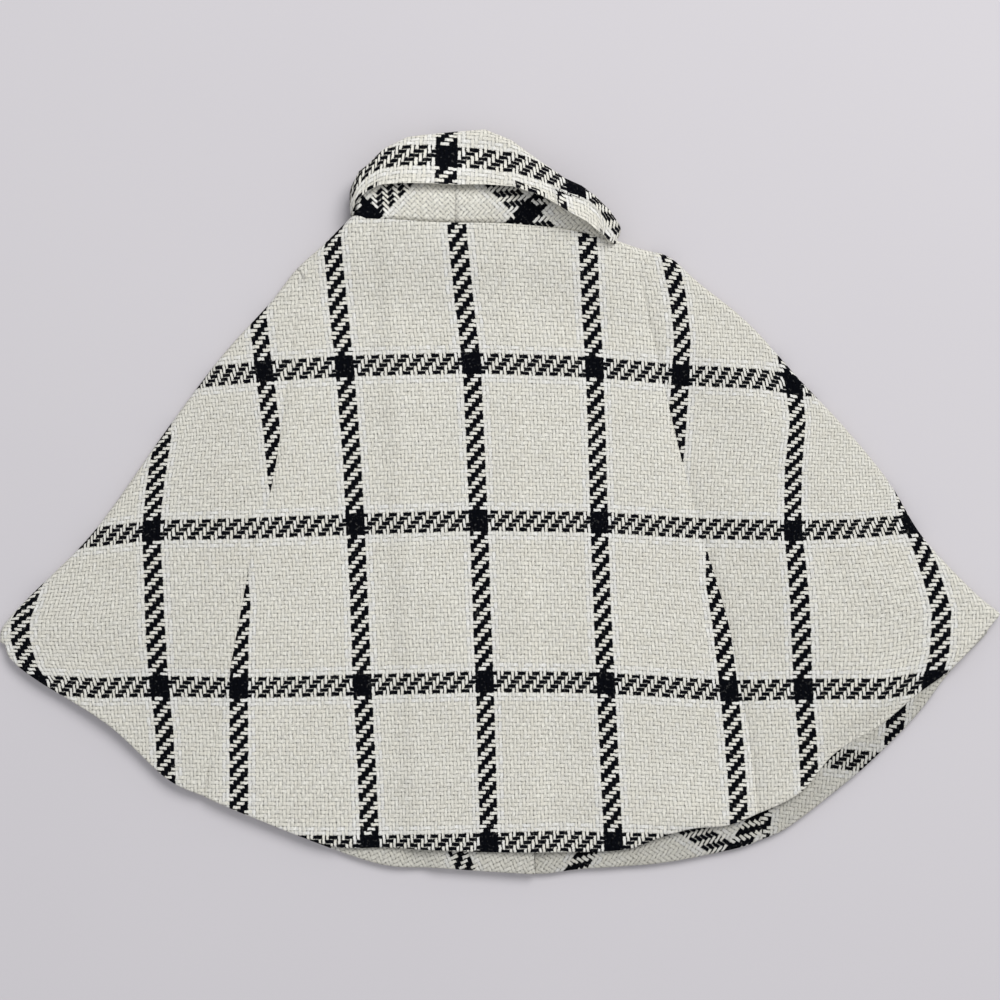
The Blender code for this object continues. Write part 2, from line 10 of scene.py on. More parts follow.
import bpy
import numpy as np
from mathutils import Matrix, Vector

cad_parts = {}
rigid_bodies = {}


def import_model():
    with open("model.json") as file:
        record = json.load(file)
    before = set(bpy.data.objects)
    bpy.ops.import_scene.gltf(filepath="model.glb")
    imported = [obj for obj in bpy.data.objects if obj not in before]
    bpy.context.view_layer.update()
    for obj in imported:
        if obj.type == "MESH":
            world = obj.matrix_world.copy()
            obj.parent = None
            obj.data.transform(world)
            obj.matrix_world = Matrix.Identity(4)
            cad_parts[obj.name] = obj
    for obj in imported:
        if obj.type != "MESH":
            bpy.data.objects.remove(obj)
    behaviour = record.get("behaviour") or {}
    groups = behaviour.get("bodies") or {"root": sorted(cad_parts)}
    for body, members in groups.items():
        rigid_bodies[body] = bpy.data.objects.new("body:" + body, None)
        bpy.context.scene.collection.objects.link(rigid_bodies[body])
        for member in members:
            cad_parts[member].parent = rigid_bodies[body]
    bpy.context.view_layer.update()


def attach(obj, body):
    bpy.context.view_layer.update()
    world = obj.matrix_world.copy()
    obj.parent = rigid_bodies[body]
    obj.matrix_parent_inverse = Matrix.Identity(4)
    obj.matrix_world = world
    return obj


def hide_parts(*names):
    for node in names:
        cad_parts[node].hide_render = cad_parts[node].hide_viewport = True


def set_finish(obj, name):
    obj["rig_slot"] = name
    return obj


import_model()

# %% [markdown]
# ## The lines of the coat
# The coat is a ring of cloth pressed flat: the back lies over the fronts, and the side pieces
# turn over at both edges. All its sizes are in millimetres and are those of the solids. The
# lines below are the seams, the edges and the hems as they are seen from above. A smooth curve
# through a few named points is easier to correct than a drawn outline, so each line is a table.

# %% Sizes of the cloth
MM = 0.001
CLOTH = 2.2
SEAM_GAP = 0.3
LAYER = CLOTH + SEAM_GAP
# the solids stand 0.3 mm apart at a seam: here the cloth all but touches
HALF_GAP = 0.02
print("cloth:", CLOTH, "mm thick, a layer every", LAYER, "mm")

# %% Lines seen from above, as x and y
NECK = [
    (-86.8, 175.2), (-70.1, 174.5), (-44.6, 172.7), (-27.5, 172.1),
    (2.5, 171.7), (34.1, 169.3), (52.7, 165.8), (63.9, 162.8),
]
FRONT_NECK = [
    (-86.8, 175.2), (-74.0, 158.0), (-53.5, 146.0), (-25.0, 141.5),
    (3.5, 144.0), (34.0, 149.5), (54.0, 155.5), (63.9, 162.8),
]
LEFT_EDGE = [
    (-91.5, 176.9), (-108.5, 160.3), (-125.9, 144.8), (-142.6, 123.7),
    (-172.4, 90.8), (-205.8, 46.2), (-238.7, -0.9), (-259.2, -26.4),
    (-289.5, -56.1), (-306.9, -75.3), (-309.4, -85.9),
]
RIGHT_EDGE = [
    (68.9, 163.0), (86.8, 157.2), (104.8, 152.2), (122.8, 136.7),
    (153.8, 111.3), (185.4, 76.6), (213.9, 46.2), (240.6, 13.3),
    (261.0, -20.1), (291.4, -53.0), (309.4, -67.9),
]
LEFT_SEAM = [
    (-121.0, 137.5), (-125.6, 117.5), (-132.7, 62.3), (-141.4, 8.4),
    (-151.3, -22.6), (-158.7, -59.8), (-168.6, -112.5), (-177.9, -153.4),
    (-182.9, -180.7),
]
RIGHT_SEAM = [
    (85.0, 149.0), (90.9, 119.3), (99.8, 79.7), (109.1, 39.4),
    (122.1, -10.2), (140.1, -70.4), (148.8, -115.6), (156.2, -159.0),
    (159.3, -191.3),
]
BACK_HEM = [
    (-309.4, -85.9), (-305.0, -95.8), (-287.1, -109.4), (-243.7, -136.1),
    (-207.1, -168.9), (-182.9, -180.7), (-156.9, -191.9), (-105.4, -211.1),
    (-69.4, -212.3), (-4.3, -214.8), (71.3, -214.2), (96.7, -206.8),
    (117.8, -200.6), (139.5, -198.7), (159.3, -191.3), (186.0, -177.6),
    (207.7, -153.4), (235.6, -136.1), (259.8, -115.6), (277.8, -102.0),
    (294.5, -85.2), (309.4, -67.9),
]
FRONT_HEM = [
    (-309.4, -85.9), (-305.0, -95.8), (-287.1, -109.4), (-243.7, -136.1),
    (-207.1, -168.9), (-182.9, -180.7), (-156.9, -191.9), (-111.6, -210.5),
    (-71.3, -223.5), (-35.3, -225.2), (21.7, -228.9), (49.6, -226.0),
    (99.2, -222.3), (144.5, -213.6), (162.4, -207.4), (179.2, -199.3),
    (210.2, -175.2), (230.6, -157.8), (259.2, -128.7), (279.6, -102.0),
    (301.9, -79.0), (309.4, -67.9),
]
HEM_LEFT_SEAM = 5
HEM_RIGHT_SEAM = 14
RIGHT_LAP_X = (-53.5, -35.3)
MIDDLE_X = (-25.0, -6.8)
LEFT_LAP_X = (3.5, 21.7)
print("points along the back hem:", len(BACK_HEM), "and the front hem:", len(FRONT_HEM))

# %% [markdown]
# ## A curve that is read by its share
# A panel's edge and its neighbour's have to be cut at the same places, or the seam would gape.
# A curve that is read by the share of its length gives both the same points.

# %% Curves
class Curve:
    """A smooth curve through a table's points, read by the share of its length."""

    STEPS = 12

    def __init__(self, points):
        knots = np.array(points, float)
        padded = np.vstack([2 * knots[0] - knots[1], knots, 2 * knots[-1] - knots[-2]])
        fine = []
        for first in range(len(knots) - 1):
            before, here, there, after = padded[first:first + 4]
            for t in np.linspace(0, 1, self.STEPS, endpoint=False):
                bend = 2 * before - 5 * here + 4 * there - after
                twist = 3 * here - before - 3 * there + after
                fine.append(here + 0.5 * ((there - before) * t + bend * t**2 + twist * t**3))
        fine.append(knots[-1])
        self.points = np.array(fine)
        steps = np.linalg.norm(np.diff(self.points, axis=0), axis=1)
        run = np.concatenate([[0.0], np.cumsum(steps)])
        self.length = run[-1]
        self.shares = run / run[-1]
        self.knots = self.shares[::self.STEPS]

    def __call__(self, shares):
        columns = [np.interp(shares, self.shares, self.points[:, k]) for k in (0, 1)]
        return np.stack(columns, axis=-1)


neck = Curve(NECK)
front_neck = Curve(FRONT_NECK)
left_edge = Curve(LEFT_EDGE)
right_edge = Curve(RIGHT_EDGE)
left_seam = Curve(LEFT_SEAM)
right_seam = Curve(RIGHT_SEAM)
right_front_seam = Curve(RIGHT_SEAM[:-1] + [FRONT_HEM[HEM_RIGHT_SEAM]])
back_hem = Curve(BACK_HEM)
front_hem = Curve(FRONT_HEM)
print("back neck seam:", round(neck.length), "mm, back hem:", round(back_hem.length), "mm")

# %% [markdown]
# ## Small helpers for lines and sheets
# A panel is spread like a net between its four edges. Blender's Grid Fill could close a drawn
# outline too, but it would choose the rows itself, and here they have to meet at every seam.

# %% Helpers for lines
# a place well inside the coat, which tells the inner side of a line from its outer side
INSIDE = (0.0, -60.0)


def smoothstep(value):
    value = np.clip(value, 0.0, 1.0)
    return value * value * (3 - 2 * value)


def unit(vectors):
    return vectors / np.linalg.norm(vectors, axis=-1, keepdims=True)


def across_line(points, away_from):
    """The flat directions square to a line, on the side that is away from a point."""
    along = unit(np.gradient(points, axis=0))
    square = np.stack([-along[:, 1], along[:, 0]], axis=1)
    side = np.sign(np.sum(square * (points - np.array(away_from)), axis=1))
    return square * side[:, None]


def distance_to(points, line):
    """How far each point lies from a line of points, seen from above."""
    flat = points[..., :2].reshape(-1, 2)
    gaps = np.hypot(flat[:, None, 0] - line[None, :, 0], flat[:, None, 1] - line[None, :, 1])
    return gaps.min(axis=1).reshape(points.shape[:-1])


print("the left seam lies", round(float(distance_to(np.zeros((1, 2)), left_seam.points)[0])),
      "mm from the coat's middle")


# %% Helpers for sheets
def patch(top, bottom, left, right, across, down):
    """A sheet spread between four lines that meet at its corners."""
    u = across[None, :, None]
    v = down[:, None, None]
    sides = (1 - v) * top[None] + v * bottom[None] + (1 - u) * left[:, None] + u * right[:, None]
    upper = (1 - u) * top[0] + u * top[-1]
    lower = (1 - u) * bottom[0] + u * bottom[-1]
    return sides - (1 - v) * upper - v * lower


def fitted(points, start, end, shares=None):
    """A line shifted so that it starts and ends at the given points."""
    share = np.linspace(0, 1, len(points)) if shares is None else shares
    share = share[:, None]
    return points + (1 - share) * (start - points[0]) + share * (end - points[-1])


def share_at(curve, x):
    return np.interp(x, curve.points[:, 0], curve.shares)


def raised(plan, height):
    return np.concatenate([plan, np.broadcast_to(height, plan.shape[:-1])[..., None]], axis=-1)


print("the left seam meets the back hem at", round(back_hem.knots[HEM_LEFT_SEAM], 2), "of it")

# %% [markdown]
# ## Rows and columns
# A solid needs some thirty rows down the coat. The cloth that is seen needs a row every three
# millimetres, and a few more close to each hem and seam, where the cloth rolls over its edge.

# %% Shares down and across a panel
EDGE_STEPS = (0.0, 0.0012, 0.003, 0.006)
ROWS = 140
LEFT_SHOULDER = 0.137
RIGHT_SHOULDER = 0.078
LEFT_SHOULDER_ROWS = 18
RIGHT_SHOULDER_ROWS = 11
TURN_STEPS = 12
BACK_COLUMNS = 96
SIDE_BACK_COLUMNS = 56
SIDE_FRONT_COLUMNS = 40
FRONT_COLUMNS = 36


def edged(count, first=True, last=True):
    """Even shares from 0 to 1 with a few more close to the ends."""
    shares = np.linspace(0, 1, count + 1)
    if first:
        shares[:len(EDGE_STEPS)] = EDGE_STEPS
    if last:
        shares[-len(EDGE_STEPS):] = 1 - np.array(EDGE_STEPS[::-1])
    start = len(EDGE_STEPS) - 1 if first else 0
    stop = count + 2 - len(EDGE_STEPS) if last else None
    even = shares[start:stop]
    shares[start:stop] = np.linspace(even[0], even[-1], len(even))
    return shares


def shares_down(shoulder, shoulder_rows):
    above = np.linspace(0, shoulder, shoulder_rows + 1)
    below = shoulder + (1 - shoulder) * edged(ROWS - shoulder_rows, first=False)
    return np.concatenate([above, below[1:]])


DOWN = edged(ROWS, first=False)
LEFT_SHARES = shares_down(LEFT_SHOULDER, LEFT_SHOULDER_ROWS)
RIGHT_SHARES = shares_down(RIGHT_SHOULDER, RIGHT_SHOULDER_ROWS)
print("rows down the coat:", ROWS)

# %% [markdown]
# ## The collar's table
# The collar is a second ring above the neck seam. The table gives it along the back neck
# seam: the roll line, the depth of the fall, and how far the fall and the whole collar rise.

# %% Collar sizes
# share of the neck seam, roll x, roll y, fall, lift, rise, droop
COLLAR = np.array([
    (0.00, -86.5, 198.7, 12.0, 0.0, 0.0, 0.0),
    (0.03, -81.2, 202.8, 11.8, 0.6, 0.2, 0.3),
    (0.08, -72.0, 212.6, 17.5, 1.2, 0.5, 1.5),
    (0.16, -57.5, 220.2, 24.3, 1.8, 1.5, 5.0),
    (0.28, -42.8, 222.3, 26.3, 2.0, 2.0, 8.0),
    (0.39, -27.3, 223.9, 28.8, 2.0, 2.5, 9.5),
    (0.51, -9.3, 225.3, 30.2, 2.6, 3.0, 9.5),
    (0.63, 7.0, 218.4, 25.0, 5.5, 4.0, 8.0),
    (0.76, 21.8, 207.8, 20.8, 9.0, 4.0, 5.0),
    (0.87, 40.6, 194.3, 17.6, 9.0, 3.0, 2.5),
    (0.93, 51.0, 189.6, 17.6, 7.0, 1.5, 1.0),
    (0.97, 58.8, 183.4, 16.5, 4.0, 0.5, 0.3),
    (1.00, 66.3, 174.9, 11.5, 2.0, 0.0, 0.0),
])


def turn_direction(row, away):
    """The way the collar's ring bulges at one of its ends, square to its turn."""
    seam_point = neck(COLLAR[row, 0])
    along = unit(COLLAR[row, 1:3] - seam_point)
    square = np.array([-along[1], along[0]])
    return square * np.sign(square[0] * away)


LEFT_TURN = turn_direction(0, -1.0)
RIGHT_TURN = turn_direction(-1, 1.0)
print("deepest fall:", COLLAR[:, 3].max(), "mm, lifted by up to", COLLAR[:, 4].max(), "mm")

# %% [markdown]
# ## How high the back lies
# Seen from above, the back is a low landscape: it rises to the neck seam, sinks at the side
# seams and carries the soft ridges of cloth that was laid down by hand. The first part of the
# height is the solid's own, so the cloth stays where the solid is. The creases come on top.

# %% Ridges and creases of the back
# middle x and y, length, width, bearing in degrees and height
RIDGES = [
    (-70.0, 40.0, 260.0, 34.0, 94.0, 1.6),
    (30.0, 60.0, 240.0, 38.0, 88.0, 1.9),
    (62.0, -120.0, 200.0, 30.0, 84.0, 1.5),
    (-30.0, -110.0, 220.0, 42.0, 92.0, 1.2),
    (-185.0, -60.0, 210.0, 44.0, 62.0, 2.2),
    (-170.0, 50.0, 160.0, 30.0, 60.0, 1.5),
    (175.0, -40.0, 230.0, 46.0, 118.0, 2.4),
    (150.0, 70.0, 150.0, 30.0, 125.0, 1.6),
    (110.0, -192.0, 60.0, 22.0, 20.0, 2.6),
    (235.0, -118.0, 120.0, 24.0, 40.0, 2.0),
]
CREASES = [
    (-149.0, 12.0, 60.0, 9.0, 20.0, 0.9),
    (-170.0, -96.0, 90.0, 12.0, 70.0, 0.8),
    (118.0, 74.0, 70.0, 10.0, 150.0, 0.8),
    (126.0, -16.0, 46.0, 9.0, 165.0, 0.9),
    (60.0, -178.0, 120.0, 16.0, 12.0, 1.0),
    (-60.0, -170.0, 80.0, 14.0, 170.0, 0.6),
    (-20.0, 60.0, 70.0, 12.0, 100.0, 0.5),
    (12.0, -60.0, 90.0, 12.0, 75.0, 0.6),
    (-238.0, -70.0, 90.0, 14.0, 40.0, 0.9),
    (222.0, -40.0, 110.0, 16.0, 130.0, 0.9),
    (92.0, 120.0, 50.0, 10.0, 110.0, 0.7),
    (-108.0, 128.0, 60.0, 12.0, 50.0, 0.7),
]
print("ridges and creases:", len(RIDGES), "and", len(CREASES))

# %% [markdown]
# ## Soft ridges and uneven cloth
# A ridge fades out along its length and falls away on both sides like a bell. Thick wool is
# never quite even either, so a soft random swelling comes on top. A Cloth simulation could
# wrinkle the coat by itself, but it would not lay its ridges where they are on the real one.

# %% Ridges and swelling
UNEVEN_CELLS = 64
# keeps the places above zero before they are counted in cells
UNEVEN_START = 1000.0


def heaped(points, table):
    """The height that a table of long soft ridges gives each point."""
    height = np.zeros(points.shape[:-1])
    for x, y, length, width, bearing, top in table:
        angle = np.radians(bearing)
        along = (points[..., 0] - x) * np.cos(angle) + (points[..., 1] - y) * np.sin(angle)
        across = (points[..., 1] - y) * np.cos(angle) - (points[..., 0] - x) * np.sin(angle)
        fade = np.cos(np.pi * np.clip(along / length, -0.5, 0.5)) ** 2
        height += top * fade * np.exp(-(across / width * 2) ** 2)
    return height


def uneven(points, size, seed):
    """Soft random values from -1 to 1, alike over about one size."""
    table = np.random.RandomState(seed).uniform(-1, 1, (UNEVEN_CELLS, UNEVEN_CELLS))
    places = points[..., :2] / size + UNEVEN_START
    cell = np.floor(places).astype(int)
    part = smoothstep(places - cell)
    x, y = cell[..., 0], cell[..., 1]
    rows = []
    for step in (0, 1):
        row = (y + step) % UNEVEN_CELLS
        low = table[x % UNEVEN_CELLS, row]
        high = table[(x + 1) % UNEVEN_CELLS, row]
        rows.append(low + (high - low) * part[..., 0])
    return rows[0] + (rows[1] - rows[0]) * part[..., 1]


print("ridges at the coat's middle:", round(float(heaped(np.zeros((1, 2)), RIDGES)[0]), 1), "mm")

# %% [markdown]
# ## The lap of the fronts
# The left front lies on the edge of the right one, and both lift the back above them a little.
# The lift is worked out from the lap's two lines, so that it follows them down the coat.

# %% The lap
LAP_STEP = 12.0
LAP_CLEAR = 1.0
LAP_SHOULDER = 14.0


def front_line(ends, shift=0.0):
    """A straight line down a front, from its neck seam to its hem, given by x at each."""
    shares = share_at(front_neck, ends[0] + shift), share_at(front_hem, ends[1] + shift)
    start, end = front_neck(shares[0]), front_hem(shares[1])
    return start + DOWN[:, None] * (end - start)


RIGHT_LAP = front_line(RIGHT_LAP_X)
LEFT_LAP = front_line(LEFT_LAP_X)
LAP_STARTS = -LAP_CLEAR - LAP_STEP


def past_lap(points, lap):
    """How far to the right of a front's edge each point lies."""
    top, bottom = lap[0], lap[-1]
    share = (top[1] - points[..., 1]) / (top[1] - bottom[1])
    return points[..., 0] - (top[0] + share * (bottom[0] - top[0]))


def lap_lift(points):
    """How far the left front rises to lie on the right front's edge."""
    return LAYER * smoothstep((past_lap(points, RIGHT_LAP) - LAP_STARTS) / LAP_STEP)


def lap_ridge(points):
    """How far the back rises over the lapped fronts."""
    start = LAP_STARTS - LAP_SHOULDER
    rising = smoothstep((past_lap(points, RIGHT_LAP) - start) / LAP_SHOULDER)
    falling = 1 - smoothstep(past_lap(points, LEFT_LAP) / LAP_SHOULDER)
    return (LAYER + HALF_GAP) * rising * falling


print("the fronts lap by", round(LEFT_LAP_X[0] - RIGHT_LAP_X[0]), "mm at the neck")

# %% [markdown]
# ## Where the back turns over
# The back doesn't end at the coat's sides: it turns over them. The turn starts a few
# millimetres inside the outline and bulges out to it, more at the neck than at the hem.

# %% Side lines
NECK_RISE = 8.7
NECK_SLOPE = 60.0
NECK_BLEND = 0.08
SIDE_BULGE = 3.6
NECK_BULGE = 5.0


def neck_rise(points):
    return NECK_RISE * (1 - smoothstep(distance_to(points, neck.points) / NECK_SLOPE))


def side_line(edge, turn, shares):
    """Where the back starts to turn over, with the way it turns and its bulge."""
    outer = edge(shares)
    towards = across_line(outer, INSIDE)
    share_from_neck = smoothstep(shares / NECK_BLEND)[:, None]
    towards = unit(share_from_neck * towards + (1 - share_from_neck) * turn)
    rise = neck_rise(outer) / NECK_RISE
    bulge = SIDE_BULGE + (NECK_BULGE - SIDE_BULGE) * rise
    return outer - towards * bulge[:, None], towards, bulge


LEFT_SIDE, LEFT_OUT, LEFT_BULGE = side_line(left_edge, LEFT_TURN, LEFT_SHARES)
RIGHT_SIDE, RIGHT_OUT, RIGHT_BULGE = side_line(right_edge, RIGHT_TURN, RIGHT_SHARES)
print("bulge of the turn, neck to hem:", round(LEFT_BULGE[0], 1), "to", round(LEFT_BULGE[-1], 1))

# %% [markdown]
# ## The height of the back
# All of this adds up to one height for each point of the back: the rise to the neck, the lap,
# the ridges and creases, the valleys along the seams, where stitches pull the cloth down, and
# the soft roll down to the hem at the lower right.

# %% How high the back lies
SIDE_LINES = np.vstack([LEFT_SIDE, RIGHT_SIDE])
SEAM_LINES = np.vstack([left_seam.points, right_seam.points])
SIDE_HEIGHT = 7.2
CROWN = 1.5
CROWN_EDGE = 30.0
SEAM_VALLEY = 0.8
SEAM_VALLEY_WIDTH = 5.0
SEAM_ROLL = 0.9
SEAM_ROLL_WIDTH = 1.3
SINKING_HEM = BACK_HEM[15:20]
HEM_SINK = 3.4
HEM_SINK_WIDTH = 15.0
# height, size and seed of each soft swelling
BROAD_SWELLING = (0.55, 31.0, 3)
FINE_SWELLING = (0.25, 12.0, 5)
SEAM_PUCKER = (0.35, 9.0, 11)


def hem_sink(points):
    """How far the back rolls down to its hem at the lower right, where it lies softly."""
    line = Curve(SINKING_HEM).points
    start, end = line[0], line[-1]
    along = np.sum((points - start) * (end - start), axis=-1) / np.sum((end - start) ** 2)
    inside = np.sin(np.pi * np.clip(along, 0.0, 1.0)) ** 0.5
    return HEM_SINK * inside * (1 - smoothstep(distance_to(points, line) / HEM_SINK_WIDTH))


def swelling(points, sizes):
    height, size, seed = sizes
    return height * uneven(points, size, seed)


def back_height(points):
    """The height of the back's outer face above the surface the coat lies on."""
    away = smoothstep(distance_to(points, SIDE_LINES) / CROWN_EDGE)
    from_seam = distance_to(points, SEAM_LINES)
    valley = SEAM_VALLEY * np.exp(-(from_seam / SEAM_VALLEY_WIDTH) ** 2)
    full = CROWN + lap_ridge(points) + heaped(points, RIDGES) - valley
    full += (
        heaped(points, CREASES) + swelling(points, BROAD_SWELLING)
        + swelling(points, FINE_SWELLING)
    )
    pucker = 1 + swelling(points, SEAM_PUCKER)
    full -= SEAM_ROLL * pucker * np.exp(-(from_seam / SEAM_ROLL_WIDTH) ** 2)
    return SIDE_HEIGHT + neck_rise(points) + away * full - hem_sink(points)


middle_height = float(back_height(np.zeros((1, 2)))[0])
print("height of the middle of the back:", round(middle_height, 1), "mm")

# %% [markdown]
# ## Where each yarn lies
# The cloth is woven with a black line every 34 ends and every 38 picks. The panels are gored,
# so the lines drift and lean on the laid coat. The count goes into the mesh as its map, so
# the weave follows the cloth round every turn. An image could not do this as sharply.

# %% Lines of the check
END = 2.22
PICK = 2.6
ENDS_BETWEEN = 34
PICKS_BETWEEN = 38
# a thousandth of the picture, and where the coat's middle is in it
SEEN = 0.62
SEEN_MIDDLE = (500, 503.5)


def seen(table):
    """A table of places in the picture, in its thousandths, as x and y in millimetres."""
    x, y = np.array(table, float).T
    return np.stack([(x - SEEN_MIDDLE[0]) * SEEN, (SEEN_MIDDLE[1] - y) * SEEN], axis=1)


# lines down each panel, from left to right, with the line that they count from
BACK_LINES = (-2, [
    [(211, 238), (216, 300), (223, 365), (230, 450), (236, 525), (243, 602), (241, 640),
     (240, 687), (240, 740), (240, 805), (240, 870)],
    [(333, 238), (338, 300), (345, 365), (352, 450), (356, 525), (360, 610), (363, 685),
     (368, 770), (371, 843), (372, 870)],
    [(457, 230), (464, 300), (472, 365), (476, 450), (479, 525), (482, 610), (485, 685),
     (487, 770), (489, 845), (490, 870)],
    [(587, 240), (590, 300), (594, 365), (597, 450), (599, 525), (602, 610), (605, 685),
     (609, 770), (613, 845), (614, 870)],
    [(706, 240), (708, 300), (711, 365), (713, 450), (713, 525), (713, 582), (720, 625),
     (728, 690), (733, 740), (738, 815), (741, 870)],
])
LEFT_LINES = (-4, [
    [(40, 300), (45, 400), (42, 500), (40, 560), (33, 592), (22, 620), (22, 640), (30, 665),
     (40, 680), (48, 740), (52, 820)],
    [(140, 310), (150, 360), (161, 400), (165, 437), (157, 480), (152, 530), (156, 600),
     (161, 685), (166, 730), (168, 772), (170, 830)],
    [(258, 312), (265, 372), (271, 420), (275, 455), (281, 500), (285, 560), (288, 685),
     (292, 830)],
])
RIGHT_LINES = (2, [
    [(664, 240), (670, 262), (678, 300), (682, 340), (680, 378), (677, 415), (674, 460),
     (671, 530), (676, 600), (680, 685), (684, 840)],
    [(780, 300), (783, 340), (785, 365), (793, 385), (797, 420), (792, 470), (791, 530),
     (797, 600), (801, 685), (806, 740), (808, 770), (810, 840)],
    [(893, 400), (900, 470), (905, 512), (917, 540), (930, 575), (940, 610), (938, 650),
     (930, 680), (928, 740), (926, 840)],
])
# lines across the whole back, from the top
ACROSS_LINES = (0, [
    [(60, 398), (205, 378), (265, 372), (345, 367), (472, 364), (594, 368), (680, 376),
     (760, 380), (795, 386), (930, 402)],
    [(-20, 552), (85, 538), (152, 530), (250, 528), (356, 524), (479, 520), (599, 522),
     (700, 528), (791, 530), (850, 528), (905, 523), (1030, 518)],
    [(-80, 678), (40, 683), (100, 687), (161, 685), (240, 687), (363, 684), (485, 680),
     (605, 682), (728, 690), (801, 688), (880, 688), (930, 680), (1040, 676)],
    [(-80, 838), (330, 844), (371, 844), (489, 841), (560, 839), (613, 841), (635, 841),
     (760, 845), (1040, 838)],
])
down_count = sum(len(tables) for _, tables in (BACK_LINES, LEFT_LINES, RIGHT_LINES))
print("black lines down the coat:", down_count, "and across it:", len(ACROSS_LINES[1]))


# %% Count the yarns
def counted(place, lines, between, pitch, first):
    """Yarns counted through the lines of a check, and on at their pitch beyond them."""
    count = between * first + (place - lines[0]) / pitch
    for number in range(len(lines) - 1):
        here, there = lines[number], lines[number + 1]
        inside = between * (first + number + (place - here) / (there - here))
        count = np.where(place > here, inside, count)
    beyond = between * (first + len(lines) - 1) + (place - lines[-1]) / pitch
    return np.where(place > lines[-1], beyond, count)


def yarns_at(plan, down_lines):
    """The end and the pick at each point of a panel that is spread out flat."""
    x, y = plan[..., 0], plan[..., 1]
    first, tables = down_lines
    places = [seen(table)[::-1] for table in tables]
    lines = [np.interp(y, place[:, 1], place[:, 0]) for place in places]
    ends = counted(x, lines, ENDS_BETWEEN, END, first)
    top, tables = ACROSS_LINES
    lines = [np.interp(x, *seen(table).T) for table in tables]
    picks = counted(-y, [-line for line in lines], PICKS_BETWEEN, PICK, top)
    return np.stack([ends, picks], axis=-1)


print("check:", round(ENDS_BETWEEN * END), "by", round(PICKS_BETWEEN * PICK), "mm")

# %% [markdown]
# ## Making a piece of cloth
# Real cloth has two faces and a thickness, and its cut edge shows at the hem. So each piece is
# a closed shell between an outer and an inner face of one lattice. A Solidify modifier could
# thicken a single sheet, but here the two faces are already known from the solid's own rule.

# %% A closed shell from two faces
# the middle of the coat's floor, which is the frame's origin
FOOTPRINT_MIDDLE = (0.0, 0.8)
ALL_PIECES = []


def cloth(name, outer, inner, yarns, slot, keep=None):
    """A closed shell of cloth between two faces, with its yarn counts as a map."""
    rows, columns = outer.shape[:2]
    place = np.arange(rows * columns).reshape(rows, columns)
    cells = np.stack([place[:-1, :-1], place[:-1, 1:], place[1:, 1:], place[1:, :-1]], axis=-1)
    cells = cells[keep] if keep is not None else cells.reshape(-1, 4)
    sides = np.concatenate([cells[:, [corner, (corner + 1) % 4]] for corner in range(4)])
    _, first, times = np.unique(
        np.sort(sides, axis=1), axis=0, return_index=True, return_counts=True
    )
    rim = sides[first[times == 1]]
    behind = rows * columns
    edge = np.column_stack([rim[:, 1], rim[:, 0], rim[:, 0] + behind, rim[:, 1] + behind])
    faces = np.concatenate([cells, cells[:, ::-1] + behind, edge])
    points = np.concatenate([outer.reshape(-1, 3), inner.reshape(-1, 3)])
    points = (points - np.array([*FOOTPRINT_MIDDLE, 0.0])) * MM
    used, faces = np.unique(faces, return_inverse=True)
    faces = faces.reshape(-1, 4)
    points = points[used]
    counts = np.concatenate([yarns.reshape(-1, 2)] * 2)[used]
    if inside_out(points, faces):
        faces = faces[:, ::-1]
    mesh = bpy.data.meshes.new(name)
    mesh.from_pydata(points.tolist(), [], faces.tolist())
    layer = mesh.uv_layers.new(name="Yarns")
    layer.uv.foreach_set("vector", counts[faces.reshape(-1)].astype(np.float32).ravel())
    mesh.shade_smooth()
    piece = bpy.data.objects.new(name, mesh)
    bpy.context.collection.objects.link(piece)
    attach(piece, "root")
    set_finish(piece, slot)
    ALL_PIECES.append(piece)
    area = sum(face.area for face in mesh.polygons) / 2
    size = np.ptp(points, axis=0)
    print(f"{name}: {len(faces)} faces, {area:.4f} m2, {size[0]:.3f} by {size[1]:.3f} m")
    return piece


# %% Which way a shell faces, and its round edges
RIM_ROLL = 0.55
# how much of the roll each of the last two rows takes
RIM_STEPS = (1.0, 0.35)


def inside_out(points, faces):
    """Whether a closed shell's faces look inwards, from the volume that they enclose."""
    first, second, third, fourth = (points[faces[:, corner]] for corner in range(4))
    cones = np.einsum("ij,ij->i", first, np.cross(second, third) + np.cross(third, fourth))
    return cones.sum() < 0


def rolled(outer, inner, sides):
    """Two faces drawn towards each other along named sides, so that the edge is round."""
    outer, inner = outer.copy(), inner.copy()
    for side in sides:
        for step, share in enumerate(RIM_STEPS):
            at = {
                "first row": (step, slice(None)),
                "last row": (-1 - step, slice(None)),
                "first column": (slice(None), step),
                "last column": (slice(None), -1 - step),
            }[side]
            across = unit(inner[at] - outer[at])
            outer[at] += RIM_ROLL * share * across
            inner[at] -= RIM_ROLL * share * across
    return outer, inner


# %% [markdown]
# ## The back
# The back runs from the neck seam to the hem as one soft surface, in three pieces. Its outer
# face lies at the height worked out above, and its inner face one thickness of cloth below.

# %% Edges of a panel
TURN_DOWN = np.linspace(np.pi / 2, -np.pi / 2, TURN_STEPS + 1)
# share of the neck seam that each shoulder's turn takes
NECK_END = 0.03
print("steps of a turn:", TURN_STEPS)


def back_walls(plan):
    top = back_height(plan)
    return raised(plan, top), raised(plan, top - CLOTH)


# %% [markdown]
# ## The turn over a side
# At a side the cloth makes a half turn from the back to the underside. A Bend modifier could
# turn a flat sheet, but not to a height that changes along it. So each point of the side line
# gets its own half ring, as high as the back is there and as wide as its bulge.

